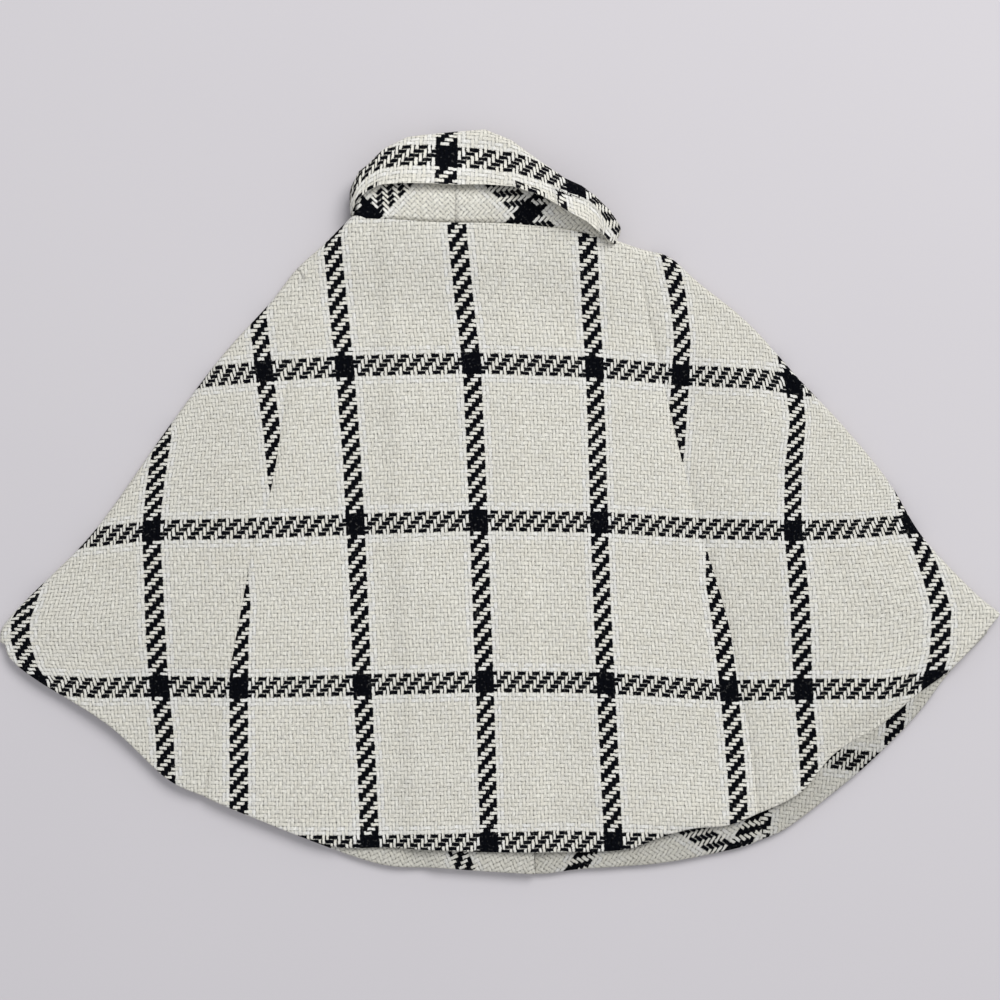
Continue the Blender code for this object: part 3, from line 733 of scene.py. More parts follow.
# %% The turn over a side
def turned(points, towards, bulge, angles):
    """The two faces of cloth that turns over from the back to the underside."""
    half = back_height(points)[:, None] / 2
    across = np.cos(angles)[None, :, None] * towards[:, None, :]
    rise = np.sin(angles)[None, :]
    faces = []
    for inset in (0.0, CLOTH):
        plan = points[:, None, :] + across * (bulge - inset)[:, None, None]
        faces.append(raised(plan, half + rise * (half - inset)))
    return faces


# %% [markdown]
# ## The plan of a panel
# Seen from above, a panel lies between two seams, the neck and the hem. Each seam is followed
# half a gap inside the panel, so that two panels never share a wall.

# %% The plan of a panel
def seam_rows(seam, neck_point, shoulder_rows, side):
    """A panel's edge at a side seam, with the stretch above it up to the neck.

    It is moved half a seam gap towards the middle (side 1) or the edge (side -1)."""
    line = seam(edged(ROWS - shoulder_rows, first=False))
    away = across_line(line, INSIDE)
    above = np.linspace(neck_point, line[0], shoulder_rows + 1)
    whole = np.vstack([above[:-1], line])
    shift = np.vstack([np.repeat(away[:1], shoulder_rows, axis=0), away])
    return whole - side * HALF_GAP * shift


def hem_between(hem, first_share, last_share, across):
    return hem(first_share + across * (last_share - first_share))


def panel(neck_line, shares, hem, hem_shares, left, right):
    """The plan of a panel between two edges, from its neck seam to its hem."""
    across = (shares - shares[0]) / (shares[-1] - shares[0])
    top = fitted(neck_line(shares), left[0], right[0], across)
    bottom = fitted(hem_between(hem, *hem_shares, across), left[-1], right[-1], across)
    return patch(top, bottom, left, right, across, DOWN)


def off_neck(plan):
    """A plan with its first row drawn down from the neck seam by half a gap."""
    moved = plan.copy()
    moved[0] += HALF_GAP * unit(plan[1] - plan[0])
    return moved


# %% [markdown]
# ## The turn spread out flat
# The weave has to run on over the turn without a jump. So the yarns of the cloth that turns
# are counted as if it lay flat beyond the side line, as it did on the cutting table.

# %% A turn spread out flat, for the yarns
def unrolled(points, towards, run):
    """Places on the turned cloth as if it lay flat beyond the side line."""
    return points[:, None, :] + towards[:, None, :] * run


def turn_run(points, bulge):
    """How far the cloth runs round its turn, at each of the turn's steps."""
    half = back_height(points)[:, None] / 2
    round_length = np.pi / 2 * (half + bulge[:, None])
    return (round_length * np.linspace(0, 1, TURN_STEPS + 1)[None, :])[..., None]


# %% [markdown]
# ## The centre back
# The centre back joins its plan and the two shoulder turns in one lattice. Below a shoulder
# the turn belongs to the side piece, so those cells are left out.

# %% The centre back
def back_centre():
    left = seam_rows(left_seam, neck(NECK_END), LEFT_SHOULDER_ROWS, 1)
    right = seam_rows(right_seam, neck(1 - NECK_END), RIGHT_SHOULDER_ROWS, 1)
    shares = NECK_END + (1 - 2 * NECK_END) * edged(BACK_COLUMNS)
    hem_shares = back_hem.knots[HEM_LEFT_SEAM], back_hem.knots[HEM_RIGHT_SEAM]
    plan = off_neck(panel(neck, shares, back_hem, hem_shares, left, right))
    faces = [np.stack(back_walls(plan))]
    flat = [plan]
    for line, out, bulge, rows in (
        (LEFT_SIDE, LEFT_OUT, LEFT_BULGE, LEFT_SHOULDER_ROWS),
        (RIGHT_SIDE, RIGHT_OUT, RIGHT_BULGE, RIGHT_SHOULDER_ROWS),
    ):
        line = off_neck(line)
        turn = np.stack(turned(line, out, bulge, TURN_DOWN))
        spread = unrolled(line, out, turn_run(line, bulge))
        turn[:, rows + 1:] = turn[:, rows:rows + 1]
        faces.append(turn)
        flat.append(spread)
    lattice = np.concatenate([faces[1][:, :, ::-1], faces[0], faces[2]], axis=2)
    flat = np.concatenate([flat[1][:, ::-1], flat[0], flat[2]], axis=1)
    keep = np.ones((ROWS, lattice.shape[2] - 1), bool)
    keep[LEFT_SHOULDER_ROWS:, :TURN_STEPS + 1] = False
    keep[RIGHT_SHOULDER_ROWS:, -TURN_STEPS - 1:] = False
    outer, inner = rolled(*lattice, ["last row"])
    yarns = yarns_at(flat, BACK_LINES)
    return cloth("back_centre_cloth", outer, inner, yarns, "checked_wool", keep)


# %% [markdown]
# ## The side pieces
# A side piece lies on the back from its seam to the side line, turns over, and comes back
# underneath to the front's seam. Its yarns are counted on the piece spread out flat, so the
# check runs on over the fold as it does on the real cloth.

# %% The plan of a side piece
def side_plan(seam, line, hem, hem_shares, shoulder_rows, columns):
    """The plan of a side piece on one face of the coat, from its seam to the side line."""
    inner = seam_rows(seam, seam(0.0), shoulder_rows, -1)[shoulder_rows:]
    outer = line[shoulder_rows:].copy()
    across = edged(columns, last=False)
    down = edged(ROWS - shoulder_rows, first=False)
    for edge in (inner, outer):
        edge[0] += 2 * HALF_GAP * unit(edge[1] - edge[0])
    top = inner[0] + across[:, None] * (outer[0] - inner[0])
    bottom = fitted(hem_between(hem, *hem_shares, across), inner[-1], outer[-1], across)
    return patch(top, bottom, inner, outer, across, down)


def mirrored(plan, line, out):
    """A plan on the underside, swung out round the side line as if it lay flat."""
    reach = np.sum((plan - line[:, None]) * out[:, None], axis=-1, keepdims=True)
    return plan - 2 * reach * out[:, None]


# %% Side pieces
def side_piece(name, seam, front_seam, line, out, bulge, rows, shares, lines):
    """A side piece: on the back from its seam, over the side, and back along the underside."""
    back_shares, front_shares = shares
    back = side_plan(seam, line, back_hem, back_shares, rows, SIDE_BACK_COLUMNS)
    front = side_plan(front_seam, line, front_hem, front_shares, rows, SIDE_FRONT_COLUMNS)
    turn = np.stack(turned(back[:, -1], out[rows:], bulge[rows:], TURN_DOWN))
    under = np.stack([raised(front, 0.0), raised(front, CLOTH)])[:, :, ::-1]
    over = np.stack(back_walls(back))
    lattice = np.concatenate([over[:, :, :-1], turn[:, :, :-1], under], axis=2)
    run = turn_run(back[:, -1], bulge[rows:])
    spread = unrolled(back[:, -1], out[rows:], run)
    below = mirrored(front, back[:, -1], out[rows:])[:, ::-1] + out[rows:, None] * run[:, -1:]
    flat = np.concatenate([back[:, :-1], spread[:, :-1], below], axis=1)
    outer, inner = rolled(*lattice, ["last row"])
    return cloth(name, outer, inner, yarns_at(flat, lines), "checked_wool"), front


# %% [markdown]
# ## The fronts and their hems
# The fronts are hidden below the back, so they are finished plainly. Their hems are turned up
# inside, and this strip shows below the back's edge. Its grain was turned over with the hem,
# so its yarns run across those of the back.

# %% Yarns on straight grain
def straight_yarns(plan, origin=(0.0, 0.0), lean=0.0, first=(0.0, 0.0)):
    """Yarns on straight grain, counted from a place, with the grain leaning by an angle."""
    angle = np.radians(lean)
    x, y = plan[..., 0] - origin[0], plan[..., 1] - origin[1]
    ends = (x * np.cos(angle) + y * np.sin(angle)) / END
    picks = (x * np.sin(angle) - y * np.cos(angle)) / PICK
    return np.stack([ends + first[0], picks + first[1]], axis=-1)


# %% [markdown]
# ## A front and its shoulder
# A front reaches from its seam to the lap, and above the seam on to the side line, under the
# shoulder. One more column, of which only the upper rows are kept, makes that strip.

# %% A front with its shoulder
FRONT_LEAN = 2.5


def with_shoulder(plan, side, rows, at_left):
    """A panel with one more column, out to the side line, for the rows of its shoulder."""
    column = plan[:, :1].copy() if at_left else plan[:, -1:].copy()
    column[:rows + 1, 0] = side[:rows + 1]
    parts = [column, plan] if at_left else [plan, column]
    keep = np.ones((ROWS, plan.shape[1]), bool)
    keep[rows:, 0 if at_left else -1] = False
    return np.concatenate(parts, axis=1), keep


def front_panel(name, plan, lift, shoulder, rows, at_left):
    """A front on the underside, with its shoulder's column out to the side line."""
    side = shoulder.copy()
    beside = plan[:, 0 if at_left else -1]
    side[:rows + 1] += SEAM_GAP * unit(beside - side)[:rows + 1]
    plan, keep = with_shoulder(plan, side, rows, at_left)
    plan = off_neck(plan)
    height = lift(plan)
    outer, inner = rolled(
        raised(plan, height), raised(plan, height + CLOTH), ["last row"]
    )
    cloth(name, outer, inner, straight_yarns(plan, lean=FRONT_LEAN), "checked_wool", keep)
    return plan, height


# %% [markdown]
# ## The turned-up hems
# A hem is turned up inside and held by a few stitches, so it lies in small waves. It is made
# from the front's own last rows, one layer higher, and so it follows the front everywhere.

# %% The turned-up hems
# share of the front's length that is turned up, and height, size and seed of its waves
HEM_DEPTH = 0.097
HEM_WAVE, HEM_WAVE_SIZE, HEM_WAVE_SEED = 0.35, 16.0, 21
# for each turning: a place in the picture, how its grain leans, and the end and pick there
HEM_GRAIN = {
    "left_hem_turning": ((461, 857), 25.0, (0.0, 19.0)),
    "right_hem_turning": ((583, 857), -34.0, (0.0, 20.2)),
    "side_hem_turning": ((848, 759), -6.0, (22.3, 0.0)),
}
print("the hems take", round(100 * HEM_DEPTH), "% of the length")


def hem_turning(name, plan, height, columns):
    """The turned-up hem inside a front, made from the front's own last rows."""
    first = int(np.searchsorted(DOWN[len(DOWN) - len(plan):], 1 - HEM_DEPTH))
    rows = plan[first:, columns]
    waves = HEM_WAVE * (1 + uneven(rows, HEM_WAVE_SIZE, HEM_WAVE_SEED))
    rise = height[first:, columns] + LAYER
    outer, inner = rolled(raised(rows, rise), raised(rows, rise + CLOTH + waves), ["last row"])
    place, lean, counts = HEM_GRAIN[name]
    yarns = straight_yarns(rows, tuple(seen([place])[0]), lean, counts)
    return cloth(name, outer, inner, yarns, "hem_wool")


# %% [markdown]
# ## The two fronts
# The right front lies flat on the surface, and the left one steps up on to its edge. Columns
# between a few upright lines put that step exactly at the lap.

# %% The two fronts
LEFT_LAP_COLUMNS = (8, 10, 10)
RIGHT_LAP_COLUMNS = (12, 10)


def flat_on_surface(points):
    return np.zeros(points.shape[:-1])


def bridged(lines, counts):
    """Columns between a few upright lines, evenly spaced between each pair."""
    columns = [lines[0][:, None]]
    for start, end, count in zip(lines, lines[1:], counts):
        share = np.linspace(0, 1, count + 1)[None, 1:, None]
        columns.append(start[:, None] + share * (end - start)[:, None])
    return np.concatenate(columns, axis=1)


def left_front():
    """The left front, whose edge lies inside, on the right front."""
    seam = seam_rows(left_seam, front_neck(NECK_END), LEFT_SHOULDER_ROWS, 1)
    step = front_line(RIGHT_LAP_X, LAP_STARTS)
    last = share_at(front_neck, RIGHT_LAP_X[0] + LAP_STARTS)
    shares = NECK_END + (last - NECK_END) * edged(FRONT_COLUMNS, last=False)
    hem_shares = front_hem.knots[HEM_LEFT_SEAM], share_at(front_hem, step[-1, 0])
    plan = panel(front_neck, shares, front_hem, hem_shares, seam, step)
    lines = [step, front_line(RIGHT_LAP_X, -LAP_CLEAR), front_line(MIDDLE_X), LEFT_LAP]
    lap = bridged(lines, LEFT_LAP_COLUMNS)
    plan = np.concatenate([plan[:, :-1], lap], axis=1)
    plan, height = front_panel(
        "left_front_cloth", plan, lap_lift, LEFT_SIDE, LEFT_SHOULDER_ROWS, True
    )
    return hem_turning("left_hem_turning", plan, height, slice(1, None))


def right_front():
    """The right front, flat on the surface, whose edge lies outside."""
    seam = seam_rows(right_front_seam, front_neck(1 - NECK_END), RIGHT_SHOULDER_ROWS, 1)
    beside = front_line(LEFT_LAP_X, SEAM_GAP)
    first = share_at(front_neck, LEFT_LAP_X[0] + SEAM_GAP)
    shares = first + (1 - NECK_END - first) * edged(FRONT_COLUMNS)
    hem_shares = share_at(front_hem, beside[-1, 0]), front_hem.knots[HEM_RIGHT_SEAM]
    plan = panel(front_neck, shares, front_hem, hem_shares, beside, seam)
    lap = bridged([RIGHT_LAP, front_line(MIDDLE_X), beside], RIGHT_LAP_COLUMNS)
    plan = np.concatenate([lap[:, :-1], plan], axis=1)
    plan, height = front_panel(
        "right_front_cloth", plan, flat_on_surface, RIGHT_SIDE, RIGHT_SHOULDER_ROWS, False
    )
    beside_column = lap.shape[1] - 1
    return hem_turning("right_hem_turning", plan, height, slice(beside_column, -1))


# %% [markdown]
# ## The body of the coat
# Now the panels are made. The two side pieces differ only in their seams, their black lines
# and the length of their shoulders, so one function makes both.

# %% Lay the body of the coat
back_centre()
left_front()
right_front()
side_piece(
    "left_side_cloth", left_seam, left_seam, LEFT_SIDE, LEFT_OUT, LEFT_BULGE, LEFT_SHOULDER_ROWS,
    ((back_hem.knots[HEM_LEFT_SEAM], 0.0), (front_hem.knots[HEM_LEFT_SEAM], 0.0)), LEFT_LINES,
)
right_side, under_side = side_piece(
    "right_side_cloth", right_seam, right_front_seam, RIGHT_SIDE, RIGHT_OUT, RIGHT_BULGE,
    RIGHT_SHOULDER_ROWS,
    ((back_hem.knots[HEM_RIGHT_SEAM], 1.0), (front_hem.knots[HEM_RIGHT_SEAM], 1.0)), RIGHT_LINES,
)
hem_turning("side_hem_turning", under_side, flat_on_surface(under_side), slice(0, -2))
print("pieces of the body:", len(ALL_PIECES))

# %% [markdown]
# ## The collar
# The stand rises from the neck seam and rolls over into the fall. The under collar is cut on
# the bias in two halves, so that it stretches round the roll, and the upper collar is cut
# straight with a black line along it. Both are made station by station round the neck.

# %% Shares round the neck
COLLAR_COLUMNS = 60
COLLAR_FRONT_COLUMNS = (24, 30)
COLLAR_MIDDLE = 0.391
COLLAR_ENDS = (0.012, 0.988)
collar_shares = np.concatenate([
    np.linspace(COLLAR_ENDS[0], COLLAR_MIDDLE, COLLAR_COLUMNS // 2 + 1),
    np.linspace(COLLAR_MIDDLE, COLLAR_ENDS[1], COLLAR_COLUMNS // 2 + 1)[1:],
])
print("stations along the back of the collar:", len(collar_shares))

# %% Stations round the neck
FRONT_STAND = 24.0
FRONT_FALL = 15.0
FRONT_RISE = 0.6
# sizes of the collar's left end (0) and right end (-1), where its ring turns under
TURN_DIP = {0: 8.5, -1: 6.0}
TURN_BULGE = {0: 0.55, -1: 0.85}
END_STAND = {0: 24.0, -1: 13.0}
END_FALL = {0: 15.0, -1: 3.0}
END_SHARE = 0.3


def collar_stations():
    """Each station round the collar: seam point, way up the stand, length of the stand,
    depth of the fall, lift, rise, droop, way it bulges and angle of the turn (90 on top)."""
    middle_share = share_at(front_neck, MIDDLE_X[0])
    left_shares = np.linspace(0.0, middle_share, COLLAR_FRONT_COLUMNS[0])
    right_shares = np.linspace(middle_share, 1.0, COLLAR_FRONT_COLUMNS[1])
    upright = np.array([0.0, 1.0])

    def end_stations(row, bulge, shares):
        """One end of the ring: its turn from the top down, then its front, to the middle."""
        seam_point = neck(COLLAR[row, 0])
        reach = COLLAR[row, 1:3] - seam_point
        stand = np.linalg.norm(reach)
        way = reach / stand
        fall, lift = COLLAR[row, 3:5]
        stations = []
        for angle in TURN_DOWN:
            top = (1 + np.sin(angle)) / 2
            length = END_STAND[row] + (stand - END_STAND[row]) * top
            length -= TURN_DIP[row] * np.cos(angle)
            depth = END_FALL[row] + (fall - END_FALL[row]) * top
            stations.append((seam_point, way, length, depth, lift * top, 0.0, 0.0, bulge, angle))
        for share in shares:
            middle = (share - COLLAR[row, 0]) / (middle_share - COLLAR[row, 0])
            lean = unit((1 - middle) * way + middle * upright)
            rise = FRONT_RISE * np.sin(np.pi * middle)
            inwards = smoothstep(middle / END_SHARE)
            length = END_STAND[row] + (FRONT_STAND - END_STAND[row]) * inwards
            depth = END_FALL[row] + (FRONT_FALL - END_FALL[row]) * inwards
            sizes = length, depth, 0.0, rise, 0.0
            stations.append((front_neck(share), lean, *sizes, bulge, TURN_DOWN[-1]))
        return stations

    left = end_stations(0, TURN_BULGE[0] * LEFT_TURN, left_shares[1:])[::-1]
    right = end_stations(-1, TURN_BULGE[-1] * RIGHT_TURN, right_shares[-2::-1])
    back = []
    for share in collar_shares:
        values = [np.interp(share, COLLAR[:, 0], COLLAR[:, column]) for column in range(1, 7)]
        reach = np.array(values[:2]) - neck(share)
        stand = np.linalg.norm(reach)
        back.append((neck(share), reach / stand, stand, *values[2:], LEFT_TURN, TURN_DOWN[0]))
    return left + back + right, len(left)


# %% [markdown]
# ## The collar's section
# At each station the cloth climbs the stand, goes round the roll and comes down the fall. The
# under collar and the upper collar share this path at their own distances from its middle, so
# they nest without touching. The lift and the droop then bend the plain ring as it lies.

# %% One face of a collar piece
STAND_STEPS = 14
ROLL_STEPS = 12
FALL_STEPS = 16
# two rows close together let the black line at the fall's edge begin sharply
FALL_SHARES = np.sort(np.append(edged(FALL_STEPS, first=False), (0.819, 0.821)))
FALL_START = STAND_STEPS + ROLL_STEPS
RING_HEIGHT = 10.9
ROLL_MIDDLE = 5.6
UNDER_COLLAR = {"outer": 2.8, "inner": 0.6}
UPPER_COLLAR = {"outer": 5.3, "inner": 3.1}
SEAM_DROP = 5.9
SEAM_DROP_LENGTH = 10.0
COLLAR_RISE_LENGTH = 15.0
DROOP_START = 12.0
DROOP_LENGTH = 35.0
LIFT_BEND = 1.5
print("steps over the collar:", FALL_START + len(FALL_SHARES))


def collar_face(stations, radius):
    """One face of a collar piece, and how far each point is along the cloth from the seam."""
    rows, runs = [], []
    for seam_point, way, length, fall, lift, rise, droop, bulge, angle in stations:
        stand = np.linspace(HALF_GAP, length, STAND_STEPS + 1)
        roll = np.linspace(-np.pi / 2, np.pi / 2, ROLL_STEPS + 1)[1:-1]
        back = length - fall * FALL_SHARES
        up = np.concatenate([stand, length + radius * np.cos(roll), back])
        offset = np.concatenate([
            np.full(len(stand), ROLL_MIDDLE - radius),
            ROLL_MIDDLE + radius * np.sin(roll),
            np.full(len(back), ROLL_MIDDLE + radius),
        ])
        lifting = np.concatenate([
            np.zeros(len(up) - len(back)),
            np.linspace(0, 1, len(back)) ** LIFT_BEND,
        ])
        under = (1 - np.sin(angle)) / 2
        drop = SEAM_DROP * (1 - smoothstep(up / SEAM_DROP_LENGTH)) * (offset < ROLL_MIDDLE)
        plan = seam_point + way * up[:, None] + bulge * (np.cos(angle) * offset)[:, None]
        height = RING_HEIGHT + np.sin(angle) * offset - drop * under
        height += lift * lifting * (1 - under) + rise * smoothstep(up / COLLAR_RISE_LENGTH)
        height -= droop * smoothstep((up - DROOP_START) / DROOP_LENGTH)
        rows.append(raised(plan, height))
        turn_length = ROLL_MIDDLE * np.linspace(0, np.pi, ROLL_STEPS + 1)[1:-1]
        runs.append(np.concatenate([
            stand, length + turn_length, length + ROLL_MIDDLE * np.pi + length - back
        ]))
    return np.stack(rows), np.stack(runs)


# %% [markdown]
# ## The collar's black lines
# One black line runs along the collar, and two cross it. The line along it wanders, because
# the fall was not cut quite on the grain. So its middle is read from a table.

# %% Lines of the collar
# share of the neck seam, and depth of the black line's middle above the fall's edge
COLLAR_LINE = np.array([
    (-0.25, 9.0), (0.00, 14.5), (0.03, 15.5), (0.08, 16.5), (0.16, 17.5), (0.36, 17.8),
    (0.6, 15.3), (0.76, 17.0), (0.87, 20.3), (0.93, 22.0), (0.97, 21.5), (1.0, 14.5),
    (1.13, 9.5), (1.25, 8.0),
])
# stretches of the fall's edge where a black line shows again, how deep, and where its middle is
EDGE_LINES = ((-0.05, 0.075), (0.64, 0.78), (0.985, 1.16))
EDGE_LINE_DEPTH = 0.82
EDGE_LINE_MIDDLE = 1.2
# places of the two lines that cross the collar, by share of the neck seam
CROSSING = (0.352, 0.905)
# the second crossing shows on the roll alone: beyond it the black ends are shifted away
LOOSE_ENDS = 6.0
LOOSE_PICKS = 3.2
# share of the neck seam from one station to the next, past the collar's ends
SHARE_STEP = 0.02
lowest, highest = COLLAR_LINE[:, 1].min(), COLLAR_LINE[:, 1].max()
print("the line along the collar lies", lowest, "to", highest, "mm above the fall's edge")


def upper_collar_yarns(face, runs, left_count):
    """The upper collar's yarns: ends up and down it, picks along it."""
    shares = np.concatenate([
        -SHARE_STEP * np.arange(left_count, 0, -1), collar_shares,
        1.0 + SHARE_STEP * np.arange(1, len(face) - left_count - len(collar_shares) + 1),
    ])
    line_of_roll = face[:, FALL_START]
    steps = np.linalg.norm(np.diff(line_of_roll, axis=0), axis=1)
    run = np.concatenate([[0.0], np.cumsum(steps)])
    here, there = np.interp(CROSSING, shares, run)
    ends = ENDS_BETWEEN * (run - here) / (there - here)
    line = np.interp(shares, COLLAR_LINE[:, 0], COLLAR_LINE[:, 1])
    picks = (runs[:, -1:] - line[:, None] - runs) / PICK
    edge_row = FALL_START + np.searchsorted(FALL_SHARES, EDGE_LINE_DEPTH)
    near_edge = np.arange(runs.shape[1]) >= edge_row
    for first, last in EDGE_LINES:
        marked = (shares > first) & (shares < last)
        edge_picks = (runs[:, -1:] - EDGE_LINE_MIDDLE - runs) / PICK
        picks = np.where(marked[:, None] & near_edge[None, :], edge_picks, picks)
    ends = np.broadcast_to(ends[:, None], picks.shape)
    second = (np.abs(ends - ENDS_BETWEEN) < LOOSE_ENDS) & (np.abs(picks) > LOOSE_PICKS)
    ends = np.where(second, ends + LOOSE_ENDS, ends)
    return np.stack([ends, -picks], axis=-1)


# %% Make the collar
FALL_EDGE_WIDTH = 7.0
FALL_EDGE_ROLL = 0.9
# for each half of the under collar: where its black lines cross in the picture, and its lean
UNDER_COLLAR_GRAIN = {
    "left_under_collar_cloth": ((370, 217), 45.0),
    "right_under_collar_cloth": ((527, 216), -45.0),
}


def thinned(outer, inner, runs):
    """The upper collar's face, rolled in towards the fall's edge."""
    near = 1 - smoothstep((runs[:, -1:] - runs) / FALL_EDGE_WIDTH)
    return outer + FALL_EDGE_ROLL * near[..., None] * unit(inner - outer)


def bias_yarns(face, corner, lean):
    """Yarns of an under collar half, from the crossing of its black lines."""
    return straight_yarns(face[..., :2], tuple(seen([corner])[0]), lean=lean)


def shorten(face):
    """Draws the first and last rows of a face in by half a seam gap."""
    face[0] += HALF_GAP * unit(face[1] - face[0])
    face[-1] += HALF_GAP * unit(face[-2] - face[-1])


def collar():
    stations, left_count = collar_stations()
    middle = left_count + COLLAR_COLUMNS // 2
    (outer, runs), (inner, _) = (
        collar_face(stations, UPPER_COLLAR[side]) for side in ("outer", "inner")
    )
    for face in (outer, inner):
        shorten(face)
    yarns = upper_collar_yarns(outer, runs, left_count)
    outer, inner = rolled(thinned(outer, inner, runs), inner, ["last column"])
    cloth("upper_collar_cloth", outer, inner, yarns, "collar_wool")
    halves = slice(0, middle + 1), slice(middle, None)
    for part, (name, (corner, lean)) in zip(halves, UNDER_COLLAR_GRAIN.items()):
        faces = [collar_face(stations, UNDER_COLLAR[side])[0][part] for side in ("outer", "inner")]
        for face in faces:
            shorten(face)
        outer, inner = rolled(*faces, ["last column"])
        cloth(name, outer, inner, bias_yarns(outer, corner, lean), "bias_wool")


collar()
print("pieces with the collar:", len(ALL_PIECES))

# %% [markdown]
# ## The weave
# The cloth is a chunky two-by-two twill: each yarn passes over two and under two, and the step
# moves one yarn along in each row, so slanting ribs rise to the right. Five yarns of every
# check are black, down the cloth and across it. A picture of the weave would blur close up,
# so the shader works out, for each place, which yarn lies on top, what colour it is, and how
# round it is there. Math nodes do this, and a small class lets them be written as a sum.

# %% A small helper for shader arithmetic
class Sum:
    """A number inside a node tree that can be added, multiplied and compared."""

    def __init__(self, tree, socket):
        self.tree = tree
        self.socket = socket

    def math(self, operation, *others):
        node = self.tree.nodes.new("ShaderNodeMath")
        node.operation = operation
        for place, value in enumerate((self, *others)):
            if isinstance(value, Sum):
                self.tree.links.new(value.socket, node.inputs[place])
            else:
                node.inputs[place].default_value = value
        return Sum(self.tree, node.outputs[0])

    def __add__(self, other):
        return self.math("ADD", other)

    def __sub__(self, other):
        return self.math("SUBTRACT", other)

    def __mul__(self, other):
        return self.math("MULTIPLY", other)

    def __mod__(self, other):
        return self.math("FLOORED_MODULO", other)

    def __lt__(self, other):
        return self.math("LESS_THAN", other)

    def floor(self):
        return self.math("FLOOR")

    def clamped(self):
        limited = self.math("MAXIMUM", 0.0)
        return limited.math("MINIMUM", 1.0)

    def pick(self, low, high):
        """low where this number is 0 and high where it is 1."""
        return (high - low) * self + low if isinstance(high, Sum) else self * (high - low) + low


# %% Noise, chance and mixed colours
def joined(tree, first, second):
    node = tree.nodes.new("ShaderNodeCombineXYZ")
    tree.links.new(first.socket, node.inputs[0])
    tree.links.new(second.socket, node.inputs[1])
    return node.outputs[0]


def noise(tree, vector, scale, detail=2.0):
    node = tree.nodes.new("ShaderNodeTexNoise")
    node.inputs["Scale"].default_value = scale
    node.inputs["Detail"].default_value = detail
    tree.links.new(vector, node.inputs["Vector"])
    return Sum(tree, node.outputs[0])


def chance(tree, vector):
    """A random number for each whole yarn."""
    node = tree.nodes.new("ShaderNodeTexWhiteNoise")
    node.noise_dimensions = "2D"
    tree.links.new(vector, node.inputs["Vector"])
    return Sum(tree, node.outputs["Value"])


def mixed(tree, share, low, high):
    node = tree.nodes.new("ShaderNodeMix")
    node.data_type = "RGBA"
    tree.links.new(share.socket, node.inputs["Factor"])
    for place, colour in ((6, low), (7, high)):
        if isinstance(colour, tuple):
            node.inputs[place].default_value = (*colour, 1.0)
        else:
            tree.links.new(colour, node.inputs[place])
    return node.outputs[2]


# %% [markdown]
# ## Yarns that stray
# No woollen yarn runs quite straight. Two noises move each count of the map a little: a slow
# one, so that whole yarns sway, and a quick one, so that their sides look ragged.

# %% Yarns that stray
# for each noise: its scale, its detail and how far it moves the yarns, in yarns
END_STRAYS = ((210.0, 3.0, 0.6), (1300.0, 1.0, 0.45))
PICK_STRAYS = ((330.0, 2.0, 0.5), (1500.0, 1.0, 0.40))
print("an end strays by up to", sum(far for *_, far in END_STRAYS) / 2, "of its width")


def strayed(tree, place, count, strays):
    for scale, detail, far in strays:
        count = count + (noise(tree, place, scale, detail) - 0.5) * far
    return count


# %% [markdown]
# ## The twill
# In a repeat of four yarns, a pick lies on top for two and an end for two. Each float is an
# arch along its length, and across it a flat crown that drops steeply at the yarn's sides.

# %% The twill
TWILL_REPEAT = 4.0
PICK_STEPS = 1.5
CROWN_DROP = -13.0
ARCH_TOP = 3.0
ARCH_END = 0.25


class Twill:
    """Which yarn lies on top at each place, counted from the ends and the picks."""

    def __init__(self, end, pick):
        self.end, self.pick = end, pick
        self.whole_end = (end + 0.5).floor()
        self.whole_pick = (pick + 0.5).floor()
        self.beside_end = end - self.whole_end
        self.beside_pick = pick - self.whole_pick
        self.step = (self.whole_end + self.whole_pick) % TWILL_REPEAT
        self.pick_over = self.step < PICK_STEPS

    def height(self):
        """How high the top yarn stands, from 0 in the gaps to 1 on a float's middle."""
        along_end = ((self.step - 2.0) + self.beside_pick + 0.5) * 0.5
        along_pick = (self.step + self.beside_end + 0.5) * 0.5
        end_height = crown(self.beside_end) * arched(along_end)
        pick_height = crown(self.beside_pick) * arched(along_pick)
        return self.pick_over.pick(end_height, pick_height).clamped()


def crown(beside):
    """How high a flattened yarn is, from 1 on its middle to 0 at its sides."""
    square = beside * beside
    return (square * square) * CROWN_DROP + 1.0


def arched(share):
    """How high a float is along its length, from its start to its end."""
    return (share * (share * -1.0 + 1.0)) * ARCH_TOP + ARCH_END


# %% [markdown]
# ## The check
# A yarn is black if it is one of the five of a line. Between two yarns the one below shows
# through, so the black ends peep out beside white picks. The gaps there get painted shade too,
# darkest in the small pits where four yarns meet: this gives the wool its grain from afar.

# %% The check
END_HALF = 0.34
PICK_HALF = 0.35
BLACK_PICK_HALF = 0.43
BLACK_ENDS = 2.5
WHITE_ENDS = 5.0
PIT_START = 0.31
print("black yarns in a line:", int(2 * BLACK_ENDS))


def from_line(count, between):
    """How many yarns a yarn lies from the nearest black line."""
    return ((count + between / 2) % between - between / 2).math("ABSOLUTE")


